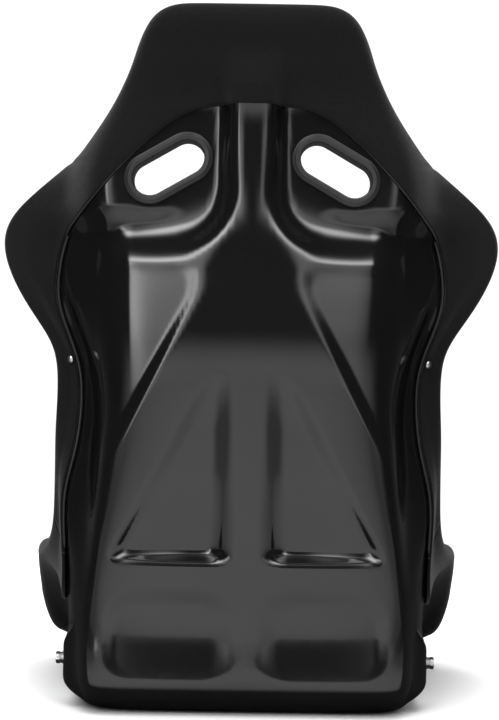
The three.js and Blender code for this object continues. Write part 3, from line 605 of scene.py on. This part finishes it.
def make_world():
    """White paper to the camera; to everything else a dark room with softboxes and a pale floor."""
    world = bpy.data.worlds.new("studio")
    world.use_nodes = True
    tree = world.node_tree
    direction = tree.nodes.new("ShaderNodeTexCoord").outputs["Generated"]
    total = ROOM_GLOW
    for glow in GLOWS:
        total = math_node(tree, "ADD", glow_node(tree, direction, *glow), total)
    height = dot_node(tree, direction, (0, 0, 1))
    floor = tree.nodes.new("ShaderNodeMapRange")
    floor.interpolation_type = "SMOOTHSTEP"
    tree.links.new(height, floor.inputs["Value"])
    floor_range = {"From Min": HORIZON[0], "From Max": HORIZON[1], "To Min": 0.0, "To Max": FLOOR_GLOW}
    for key, value in floor_range.items():
        floor.inputs[key].default_value = value
    ahead = math_node(tree, "MAXIMUM", dot_node(tree, direction, (0, 1, 0)), 0.0)
    ahead = math_node(tree, "POWER", ahead, 2.0)
    total = math_node(tree, "ADD", total, math_node(tree, "MULTIPLY", floor.outputs["Result"], ahead))
    seen = tree.nodes.new("ShaderNodeLightPath").outputs["Is Camera Ray"]
    total = math_node(tree, "MAXIMUM", total, math_node(tree, "MULTIPLY", seen, PAPER))
    tree.links.new(total, tree.nodes["Background"].inputs["Strength"])
    tree.nodes["Background"].inputs["Color"].default_value = (1, 1, 1, 1)
    bpy.context.scene.world = world


FLOOR_RADIUS, FLOOR_Z, CARD_Z = 2000.0, -0.5, 1.0


def new_disc(name, z, material):
    count = 96
    turns = [2 * math.pi * i / count for i in range(count)]
    corners = [(FLOOR_RADIUS * math.cos(a), FLOOR_RADIUS * math.sin(a), z) for a in turns]
    return new_object(name, corners, [range(count)], material, smooth=False)


def make_floor():
    m = Nodes("floor")
    m.link(m.shade(m.noise(2), (0.86, 0.86, 0.86), (0.9, 0.9, 0.9)), "Base Color")
    m.set(Roughness=0.9)
    new_disc("floor", FLOOR_Z, m.material)


def make_floor_card():
    """Sheet seen only in reflections, a painted reflection of the floor: dimmer to the sides, with painted
    shade, black, right behind the seat's foot.
    """
    m = Nodes("painted_reflection_card")
    parts = m.add("ShaderNodeSeparateXYZ", {"Vector": m.position})
    across = m.add("ShaderNodeMath", {0: parts.outputs["X"]}, operation="ABSOLUTE").outputs[0]
    # painted reflection: the mirrored floor's brightness falls off towards the sides
    sides = m.ramp(across, 1.0, 0.3, 0.15, 0.8)
    # painted shade: black on a strip just behind the seat's foot, where the floor lies in the seat's shade
    foot = m.ramp(parts.outputs["Y"], 0.02, 1.0, 0.21, 0.25)
    share = m.add("ShaderNodeMath", {0: sides, 1: foot}, operation="MULTIPLY").outputs[0]
    m.link(m.shade(share, (0.0, 0.0, 0.0), (0.62, 0.62, 0.62)), "Base Color")
    m.set(Roughness=1.0)
    # hidden from the camera, from diffuse light and from shadows, so this sheet shows only as a painted
    # reflection
    card = new_disc("painted_reflection_card", CARD_Z, m.material)
    card.visible_camera = card.visible_diffuse = card.visible_shadow = False


def make_studio():
    bpy.context.scene.view_settings.view_transform = "Standard"
    make_world()
    make_floor()
    softbox("overhead", (0, 0.6, 3.6), (0, 0, 0.4), 3.0, 3.0, 150)
    softbox("front", (1.2, -3.2, 2.0), (0, 0, 0.4), 2.4, 1.8, 90)
    softbox("front_low", (-2.2, -2.6, 1.0), (0, 0, 0.4), 1.6, 1.6, 40)
    make_floor_card()


# ---------------------------------------------------------------- harness slots
SLOT_CUT = (40, 320)      # depths in Y between which a slot is open
CUT_CLEAR = 1
SLEEVE_ROOM = (SLEEVE_WALL + CUT_CLEAR, *SLOT_CUT)
FRONT_RING_ROOM = (BEZEL_FACE + CUT_CLEAR, SLOT_CUT[0], SLOT_FRONT_Y + BEZEL_THICK + CUT_CLEAR)
WHOLE_RING_ROOM = (BEZEL_FACE + CUT_CLEAR, *SLOT_CUT)


def slot_loop(side, grow, count):
    """Points (x, z) round the slot's outline grown by `grow`, evenly spaced by length."""
    straight = (SLOT_LENGTH - SLOT_WIDTH) / 2
    radius = SLOT_WIDTH / 2 + grow
    perimeter = 4 * straight + 2 * math.pi * radius
    points = []
    for i in range(count):
        s = perimeter * i / count
        if s < 2 * straight:
            a, c = s - straight, -radius
        elif s < 2 * straight + math.pi * radius:
            turn = (s - 2 * straight) / radius - math.pi / 2
            a, c = straight + radius * math.cos(turn), radius * math.sin(turn)
        elif s < 4 * straight + math.pi * radius:
            a, c = straight - (s - 2 * straight - math.pi * radius), radius
        else:
            turn = (s - 4 * straight - math.pi * radius) / radius + math.pi / 2
            a, c = -straight + radius * math.cos(turn), radius * math.sin(turn)
        x = a * math.cos(SLOT_TILT) + c * math.sin(SLOT_TILT)
        z = -a * math.sin(SLOT_TILT) + c * math.cos(SLOT_TILT)
        points.append((side * (SLOT_X + x), SLOT_Z + z))
    return points


def slot_prism(side, grow, near, far):
    """Closed prism with the slot's outline grown by `grow`, between two depths."""
    loop = slot_loop(side, grow, 96)
    vertices = [(x, y, z) for y in (near, far) for x, z in loop]
    count = len(loop)
    faces = [(i, (i + 1) % count, count + (i + 1) % count, count + i) for i in range(count)]
    faces += [tuple(range(count)), tuple(range(2 * count - 1, count - 1, -1))]
    return face_out(new_object("cutter", vertices, faces, MOULDING, smooth=False))


def cut_slots(piece, *rooms):
    """Cuts each room, given as growth and two depths, out of a piece at both harness slots."""
    cutters = [slot_prism(side, *room) for side in (-1, 1) for room in rooms]
    for cutter in cutters:
        add_modifier(piece, "BOOLEAN", operation="DIFFERENCE", object=cutter, solver="MANIFOLD")
    apply_modifiers(piece)
    for cutter in cutters:
        bpy.data.objects.remove(cutter)
    piece.data.shade_smooth()


# ---------------------------------------------------------------- shell
SHELL_GRID = (241, 401)


def make_shell():
    places = np.linspace(-1, 1, SHELL_GRID[0]), np.linspace(0, KNOTS[-1], SHELL_GRID[1])
    u, t = np.meshgrid(*places, indexing="ij")
    rear, front = (shell_surface(u, t, depth + 0 * u) for depth in (0, WALL))
    shell = sheet_solid("shell_gelcoat", rear, front, GELCOAT)
    cut_slots(shell, SLEEVE_ROOM)
    finish_piece(shell, "gelcoat", "shell")


# ---------------------------------------------------------------- upholstery wrapped over the rim
def u_at_x(x, t):
    """Mould parameter u where the section at t reaches the given half width."""
    low, high = np.zeros_like(t), np.ones_like(t)
    for _ in range(30):
        middle = (low + high) / 2
        short = mould(middle, t)[..., 0] < x
        low, high = np.where(short, middle, low), np.where(short, high, middle)
    return (low + high) / 2


def locate(x, z, station):
    """Mould parameters of a point given in the rear view, by Newton steps from a first station."""
    u, t = 0.5, float(along(station))
    for _ in range(25):
        here = mould(u, t)
        du = (mould(u + 0.002, t) - here) / 0.002
        dt = (mould(u, t + 0.5) - here) / 0.5
        determinant = du[0] * dt[2] - dt[0] * du[2]
        error_x, error_z = x - here[0], z - here[2]
        u += np.clip((error_x * dt[2] - error_z * dt[0]) / determinant, -0.15, 0.15)
        t += np.clip((error_z * du[0] - error_x * du[2]) / determinant, -60, 60)
        u, t = float(np.clip(u, 0, 0.995)), float(np.clip(t, 0, KNOTS[-1]))
    return u, t


def at(u, station):
    return u, float(along(station))


def seam_at(x, station):
    t = float(along(station))
    return float(u_at_x(x, np.array(t))), t


# Spokes run over the rim to the rear hem, in order round the seat's right half. Each names a point on the
# rim, one on the hem and one on the inner seam.
SPOKES = (
    (at(0, 0), at(0, 0.85), at(0, 0.9)),
    (at(0.5, 0), at(0.5, 0.85), at(0.42, 0.9)),
    (at(0.86, 0), at(0.76, 0.9), seam_at(172, 0.9)),
    (at(1, 0.12), at(0.84, 0.95), seam_at(174, 1.1)),
    (at(1, 1), at(0.84, 1.3), seam_at(176, 1.6)),
    (at(1, 2), at(0.84, 2.1), seam_at(176, 2.2)),
    (at(1, 3), at(0.84, 3), seam_at(176, 3)),
    (at(1, 4), at(0.85, 4), seam_at(176, 4)),
    (at(1, 5), at(0.87, 5), seam_at(172, 5)),
    (at(1, 6), at(0.89, 6), seam_at(164, 6)),
    (at(1, 7), at(0.89, 7), seam_at(156, 7)),
    (at(1, 8), at(0.885, 8), seam_at(150, 8)),
    (at(1, 9), locate(207, 404, 9.2), seam_at(142, 9)),
    (at(1, 10), locate(228, 470, 10), seam_at(134, 10)),
    (at(1, 11), locate(233, 520, 11), seam_at(132, 11)),
    (at(1, 11.6), locate(224, 560, 11.6), seam_at(130, 11.6)),
    (at(1, 12), locate(205, 586, 12), seam_at(128, 12)),
    (at(1, 12.6), locate(172, 620, 12.5), seam_at(112, 12.6)),
    (at(1, 13.2), locate(148, 648, 13), seam_at(96, 13.2)),
    (at(1, 14), locate(118, 678, 13.4), seam_at(78, 14)),
    (at(1, 15), locate(92, 698, 13.6), seam_at(66, 15)),
    (at(1, 16), locate(70, 709, 13.7), seam_at(60, 15.6)),
    (at(0.9, 17), locate(50, 714, 13.8), seam_at(50, 15.9)),
    (at(0.5, 17), locate(26, 716, 13.8), at(0.3, 16)),
    (at(0, 17), locate(0, 716, 13.8), at(0, 16)),
)
TOP_SPOKE = len(SPOKES) - 1
LIP_SPOKE, THIGH_SPOKE = 2.45, 9.0
RIM_PATH, HEM_PATH, SEAM_PATH = (
    natural_spline(np.arange(TOP_SPOKE + 1), [spoke[k] for spoke in SPOKES]) for k in range(3)
)
# Foam thickness on the occupant's side of the rim, by spoke: thigh, hip, shoulder and head.
bolster = natural_spline([0, 4, 8, 11, 14, 18, 24], [16, 30, 34, 26, 24, 18, 16])
INSIDE_SHARE, OUTSIDE_SHARE = 0.4, 0.68
COVER_LOW = 1.0
COVER_STEPS = 121
EASING_ROUNDS = 12


def cover_point(r, q, far):
    """Points of the wrapped cover at spoke r and path share q, on its near (0) or far (1) side."""
    r, q = np.broadcast_arrays(np.asarray(r, float), np.asarray(q, float))
    side = np.where((r < 0) | (r > TOP_SPOKE), -1.0, 1.0)
    spoke = np.where(r > TOP_SPOKE, 2 * TOP_SPOKE - r, np.abs(r))
    rim, hem, seam = (path(spoke) for path in (RIM_PATH, HEM_PATH, SEAM_PATH))
    rim[..., 0] = np.minimum(rim[..., 0], 1)
    rim[..., 1] = np.clip(rim[..., 1], 0, KNOTS[-1])

    share = np.clip(q / INSIDE_SHARE, 0, 1)
    u = side * mix(seam[..., 0], rim[..., 0], share)
    t = mix(seam[..., 1], rim[..., 1], share)
    swell = 6 + bolster(spoke) * np.sin(math.pi * np.minimum(share + 0.12, 1)) ** 0.7
    inside = pad_surface(u, t, far * mix(swell, COVER_EDGE, smoothstep(0.7, 1, share)))

    share = np.clip((1 - q) / (1 - OUTSIDE_SHARE), 0, 1)
    u = side * mix(hem[..., 0], rim[..., 0], share)
    t = mix(hem[..., 1], rim[..., 1], share)
    thick = mix(COVER_REAR, COVER_EDGE, smoothstep(0.45, 1, share))
    rear = shell_surface(u, t, -(SOFT_GAP + far * thick))

    u, t = side * rim[..., 0], rim[..., 1]
    normal = mould_normal(u, t)
    edge = mould(u, t)
    behind = mix(hem, rim, 0.97)
    outward = edge - mould(side * behind[..., 0], behind[..., 1])
    outward = unit(outward - normal * np.sum(outward * normal, axis=-1, keepdims=True))
    angle = math.pi * np.clip((q - INSIDE_SHARE) / (OUTSIDE_SHARE - INSIDE_SHARE), 0, 1)[..., None]
    direction = outward * np.sin(angle) - normal * np.cos(angle)
    reach = WALL / 2 + SOFT_GAP + far * COVER_EDGE
    around = edge - normal * WALL / 2 + direction * reach
    around[..., 2] = np.maximum(around[..., 2], COVER_LOW)
    q = q[..., None]
    return np.where(q < INSIDE_SHARE, inside, np.where(q > OUTSIDE_SHARE, rear, around))


def ease(points):
    """Evens out a grid of points along its first axis, keeping the two ends."""
    for _ in range(EASING_ROUNDS):
        middle = (points[:-2] + points[2:]) / 2
        points[1:-1] = mix(points[1:-1], middle, 0.5)
    return points


HEAD_SEAM = 17.6
SEAM_DEPTH = 1.1
ACROSS_WIDTH, ROUND_WIDTH = 0.07, 0.012
ROUND_PLACE = 0.6


def sew(points, r, q):
    """Draws the fabric in along its seams: across each shoulder, and round the head just behind the rim."""
    normal = unit(np.cross(np.gradient(points, axis=0), np.gradient(points, axis=1)))
    inward = points.mean(axis=(0, 1)) - points
    normal *= np.sign(np.sum(normal * inward, axis=-1).mean())
    from_top = np.abs(r - TOP_SPOKE)
    seam = TOP_SPOKE - HEAD_SEAM
    across = np.exp(-(((from_top - seam) / ACROSS_WIDTH) ** 2)) * smoothstep(0.95, 0.7, q)
    head = smoothstep(seam, seam - 0.4, from_top)
    round_head = np.exp(-(((q - ROUND_PLACE) / ROUND_WIDTH) ** 2)) * head
    return points + normal * (SEAM_DEPTH * np.maximum(across, round_head))[..., None]


def make_cover(name, start, end, steps, nodes, *slot_rooms):
    """One closed piece of wrapped fabric on its foam, between two spokes."""
    r = np.linspace(start, end, steps)[:, None]
    q = np.linspace(0, 1, COVER_STEPS)[None, :]
    outside = sew(ease(cover_point(r, q, 1.0)), r, q)
    inside = ease(cover_point(r, q, 0.0))
    cover = sheet_solid(name, outside, inside, KNIT)
    cut_slots(cover, *slot_rooms)
    finish_piece(cover, "knit", *nodes)


def hands(*patterns):
    return [pattern.format(hand) for pattern in patterns for hand in ("left", "right")]


def make_covers():
    gap = 0.02
    first, last = THIGH_SPOKE + gap, 2 * TOP_SPOKE - THIGH_SPOKE - gap
    wrapped = ["cover_head", *hands("hip_bolster_{}", "wing_cover_{}")]
    make_cover("cover_wrap", first, last, 561, wrapped, SLEEVE_ROOM, FRONT_RING_ROOM)
    make_cover("bolster_right", LIP_SPOKE + gap, THIGH_SPOKE - gap, 141, ["thigh_bolster_right"])
    make_cover("bolster_left", -THIGH_SPOKE + gap, -LIP_SPOKE - gap, 141, ["thigh_bolster_left"])
    make_cover("lip_roll", -LIP_SPOKE + gap, LIP_SPOKE - gap, 121, ["cover_front_lip"])


# ---------------------------------------------------------------- harness bezels
def slot_frame(side):
    """Points round a slot's outline, at y = 0, and the outward direction at each."""
    loop = np.array([(x, 0, z) for x, z in slot_loop(side, 0, 128)])
    tangent = unit(np.roll(loop, -1, axis=0) - np.roll(loop, 1, axis=0))
    outward = np.cross(tangent, (0, 1, 0))
    middle = loop.mean(axis=0)
    outward *= np.sign(np.sum((loop - middle) * outward, axis=1).mean())
    return loop, outward


def swept_ring(name, side, profile, material):
    """Sweeps a closed profile of (distance outside the slot, y) round the slot."""
    loop, outward = slot_frame(side)
    rings = [loop + outward * away + np.array([0, y, 0]) for away, y in profile]
    vertices = np.stack(rings, axis=1).reshape(-1, 3)
    faces = grid_faces(len(loop), len(profile), wrap_rows=True, wrap_columns=True)
    return face_out(new_object(name, vertices, faces, material))


def rounded_corner(centre, radius, start, end, steps=6):
    """Arc of profile points between two angles in degrees."""
    angles = np.radians(np.linspace(start, end, steps))
    return [(centre[0] + radius * math.cos(a), centre[1] + radius * math.sin(a)) for a in angles]


def rear_bezel_profile():
    """Sleeve through the foam, and a low ring with rounded shoulders behind the shell."""
    sleeve_start = SLOT_FRONT_Y + 2
    base = SLOT_REAR_Y + GAP
    profile = [(0, sleeve_start), (SLEEVE_WALL, sleeve_start), (SLEEVE_WALL, base), (BEZEL_FACE - 1, base)]
    profile += rounded_corner((BEZEL_FACE - 1.4, base + 2.0), 1.4, 0, 90)
    profile += rounded_corner((5.0, base + BEZEL_THICK - 1.6), 1.6, 60, 110)
    profile += rounded_corner((2.2, base + BEZEL_THICK - 2.2), 2.2, 90, 180)
    return profile


def front_bezel_profile():
    """Flat ring round the sleeve, rounded on the occupant's side."""
    front, back = SLOT_FRONT_Y, SLOT_FRONT_Y + BEZEL_THICK
    inner = rounded_corner((SLEEVE_WALL + 2, front + 1.6), 1.5, 180, 270)
    outer = rounded_corner((BEZEL_FACE - 2, front + 2), 2, 270, 360)
    return [(SLEEVE_WALL + GAP, back), *inner, *outer, (BEZEL_FACE, back)]


def make_bezels():
    profiles = {"rear": rear_bezel_profile(), "front": front_bezel_profile()}
    for side, hand in ((-1, "left"), (1, "right")):
        for end, profile in profiles.items():
            ring = swept_ring(f"bezel_{end}_{hand}", side, profile, MOULDING)
            finish_piece(ring, "moulding", f"harness_bezel_{end}_{hand}")


# ---------------------------------------------------------------- hem bead, rivets and side-mount hardware
HEM_ENDS, RIVET_SPOKE = (9.2, 15.2), 12.15
BEAD_RADIUS, BEAD_LIFT, BEAD_INSET = 1.6, 3.4, 0.014
RIVET_LIFT, RIVET_INSET = SOFT_GAP + COVER_REAR + 3.0, 0.01
BOLT_YS = {"front": -190.0, "rear": 100.0}
FLAT_WASHER, SPRING_WASHER = 1.6, 2.2
BOLT_HEAD_START = LAND_X + GAP + FLAT_WASHER + GAP + SPRING_WASHER + GAP
BOLT_REACH, BOLT_SHANK, BOLT_FLATS, BOLT_HEAD = 201, 4, 13, 5.3


def tube(name, centres, radius, material, around=12):
    """Closed round bead through a list of points."""
    centres = np.asarray(centres, float)
    forward = unit(np.gradient(centres, axis=0))
    sideways = unit(np.cross(forward, (0.0, 1.0, 0.0)))
    lifted = np.cross(forward, sideways)
    angles = (2 * math.pi * np.arange(around) / around)[None, :, None]
    ring = sideways[:, None] * np.cos(angles) + lifted[:, None] * np.sin(angles)
    steps = np.arange(len(centres))
    taper = np.minimum(1, np.minimum(steps, steps[::-1]) / 3 + 0.35)
    vertices = (centres[:, None] + ring * radius * taper[:, None, None]).reshape(-1, 3)
    faces = [tuple(f) for f in grid_faces(len(centres), around, wrap_columns=True)]
    faces += [tuple(range(around)), tuple(range(len(vertices) - 1, len(vertices) - around - 1, -1))]
    return face_out(new_object(name, vertices, faces, material))


def lathe(name, profile, place, axis, material, around=40, flats=0):
    """Turns a profile of (radius, height, flat) round an axis. A row whose flat isn't 0 is trimmed to a
    prism with `flats` sides at that distance from the axis."""
    place, axis = np.asarray(place, float), unit(np.asarray(axis, float))
    first = unit(np.cross(axis, (0.0, 0.3, 1.0)))
    second = np.cross(axis, first)
    angles = 2 * math.pi * np.arange(around) / around
    around_axis = first * np.cos(angles)[:, None] + second * np.sin(angles)[:, None]
    rows = []
    for radius, height, flat in profile:
        reach = np.full(around, float(radius))
        if flat:
            sector = np.mod(angles, 2 * math.pi / flats) - math.pi / flats
            reach = np.minimum(reach, flat / np.cos(sector))
        rows.append(place + axis * height + around_axis * reach[:, None])
    vertices = np.concatenate(rows)
    faces = [tuple(f) for f in grid_faces(len(profile), around, wrap_columns=True)]
    faces += [tuple(range(around)), tuple(range(len(vertices) - 1, len(vertices) - around - 1, -1))]
    piece = face_out(new_object(name, vertices, faces, material, smooth=False))
    piece.data.shade_smooth()
    add_modifier(piece, "EDGE_SPLIT", split_angle=math.radians(28))
    return piece


def make_hem():
    """A trim bead along each rear hem, with one dome rivet through the fabric beside it."""
    dome = [(4.8, 0, 0), (5, 0.4, 0), (4.9, 0.9, 0), (4.1, 1.8, 0), (2.7, 2.6, 0), (1.0, 2.95, 0)]
    for side, hand in ((-1, "left"), (1, "right")):
        hem = HEM_PATH(np.linspace(*HEM_ENDS, 160))
        centres = shell_surface(side * (hem[:, 0] - BEAD_INSET), hem[:, 1], np.full(len(hem), -BEAD_LIFT))
        bead = tube(f"hem_bead_{hand}", centres, BEAD_RADIUS, TRIM)
        finish_piece(bead, "moulding", f"hem_trim_{hand}")
        hem = HEM_PATH(RIVET_SPOKE)
        u, t = np.array(side * (hem[0] + RIVET_INSET)), np.array(hem[1])
        place = shell_surface(u, t, np.array(-RIVET_LIFT))
        rivet = lathe(f"rivet_{hand}", dome, place, mould_normal(u, t), ZINC)
        finish_piece(rivet, "zinc", f"hem_rivet_{hand}")


def bolt_profile():
    """Shank and chamfered hexagonal head, measured outwards from the head's underside."""
    flat = BOLT_FLATS / 2
    corner = flat / math.cos(math.pi / 6)
    shank = [(BOLT_SHANK, BOLT_REACH - BOLT_HEAD_START, 0), (BOLT_SHANK, 0, 0)]
    underside = [(5.8, 0, 0), (5.9, 0.3, 0), (corner - 0.5, 0.3, flat), (corner, 0.7, flat)]
    top = [(corner, BOLT_HEAD - 0.7, flat), (corner - 1.0, BOLT_HEAD, flat), (5.4, BOLT_HEAD, 0)]
    return shank + underside + top


def make_bolts():
    for side, hand in ((-1, "left"), (1, "right")):
        for end, y in BOLT_YS.items():
            place = (side * BOLT_HEAD_START, y, LAND_Z)
            bolt = lathe(f"bolt_{end}_{hand}", bolt_profile(), place, (side, 0, 0), ZINC, 72, 6)
            finish_piece(bolt, "zinc", f"side_bolt_{end}_{hand}")


# ---------------------------------------------------------------- loose pads, inflated as cloth
# Half width of the seam beside the pads, by station.
seam_x = natural_spline(
    [0, 2, 5, 6, 7, 8, 9, 10, 11, 12, 13, 14, 15, 16],
    [172, 176, 172, 164, 156, 150, 142, 134, 132, 128, 101, 78, 66, 50],
)
PAD_MARGIN = 5.0
PAD_GRID = 61
VOXEL, SWELL_LIMIT = 0.006, 0.004  # metres: size of the skin's faces, and how far the pressure may move it


def cushion_half(station):
    return mix(166, 142, smoothstep(3.5, 6, station))


def inside_seam(station):
    return seam_x(station) - PAD_MARGIN


def pad_blank(name, stations, half_width, thick, edge, lift):
    """Closed pad between two stations, crowned to `thick` in the middle."""
    i, j = np.meshgrid(np.linspace(-1, 1, PAD_GRID), np.linspace(0, 1, PAD_GRID), indexing="ij")
    station = mix(stations[0], stations[1], j)
    t = along(station)
    u = i * u_at_x(half_width(station), t)
    crown = edge + (thick - edge) * (1 - i**4) * (1 - (2 * j - 1) ** 6)
    return sheet_solid(name, pad_surface(u, t, lift + crown), pad_surface(u, t, lift + 0 * crown), KNIT)


def press(pad, pressure, frames):
    """Runs the pad's skin as cloth under pressure, and holds each point within SWELL_LIMIT of its start."""
    before = np.array([v.co for v in pad.data.vertices])
    cloth = add_modifier(pad, "CLOTH")
    cloth.settings.use_pressure = True
    cloth.settings.uniform_pressure_force = pressure
    cloth.settings.quality = 6
    cloth.settings.mass = 0.3
    cloth.settings.tension_stiffness = cloth.settings.compression_stiffness = 40
    cloth.settings.effector_weights.gravity = 0
    cloth.point_cache.frame_start, cloth.point_cache.frame_end = 1, frames
    scene = bpy.context.scene
    for frame_number in range(1, frames + 1):
        scene.frame_set(frame_number)
    apply_modifiers(pad)
    scene.frame_set(1)
    step = np.array([v.co for v in pad.data.vertices]) - before
    length = np.linalg.norm(step, axis=1, keepdims=True)
    held = before + step * np.minimum(1, SWELL_LIMIT / np.maximum(length, 1e-9))
    pad.data.vertices.foreach_set("co", held.ravel())


def inflate(pad):
    """Even skin with round edges, pulled taut by the pressure inside."""
    add_modifier(pad, "REMESH", mode="VOXEL", voxel_size=VOXEL)
    apply_modifiers(pad)
    press(pad, pressure=4.0, frames=20)
    add_modifier(pad, "SMOOTH", factor=0.5, iterations=4)
    add_modifier(pad, "SUBSURF", levels=1, render_levels=1)
    apply_modifiers(pad)
    pad.data.shade_smooth()
    return pad


def make_pads():
    # name, CAD node, stations, half width, thickness, edge thickness, height over the foam behind it
    recipes = (
        ("seat_cushion_foam", "seat_cushion", (1.2, 5.8), cushion_half, 64, 42, 2.0),
        ("lumbar_foam", "lower_back_pad", (7.47, 9.88), inside_seam, 32, 18, 0.5),
        ("shoulder_foam", "upper_back_pad", (9.98, 11.88), inside_seam, 30, 18, 0.5),
        ("head_foam", "head_pad", (12.02, 14.48), inside_seam, 34, 18, 0.5),
    )
    for name, node, stations, half_width, thick, edge, lift in recipes:
        pad = inflate(pad_blank(name, stations, half_width, thick, edge, lift))
        if node == "head_pad":
            cut_slots(pad, WHOLE_RING_ROOM)
        finish_piece(pad, "knit", node)


# ---------------------------------------------------------------- CAD pieces that stay, with real finishes
CREASE = math.radians(30)


def dress_cad_pieces():
    """Plain hardware that shows as it is, and the hidden hook-and-loop strips under the cushion."""
    finishes = {"washer": ZINC, "nut": ZINC, "plate": ZINC, "strip": NYLON}
    for name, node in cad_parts.items():
        for word, material in finishes.items():
            if word in name:
                node.data.materials.clear()
                node.data.materials.append(material)
                if word in ("washer", "nut"):
                    add_modifier(node, "EDGE_SPLIT", split_angle=CREASE)


make_camera()
make_studio()
make_shell()
make_covers()
make_bezels()
make_hem()
make_bolts()
make_pads()
dress_cad_pieces()
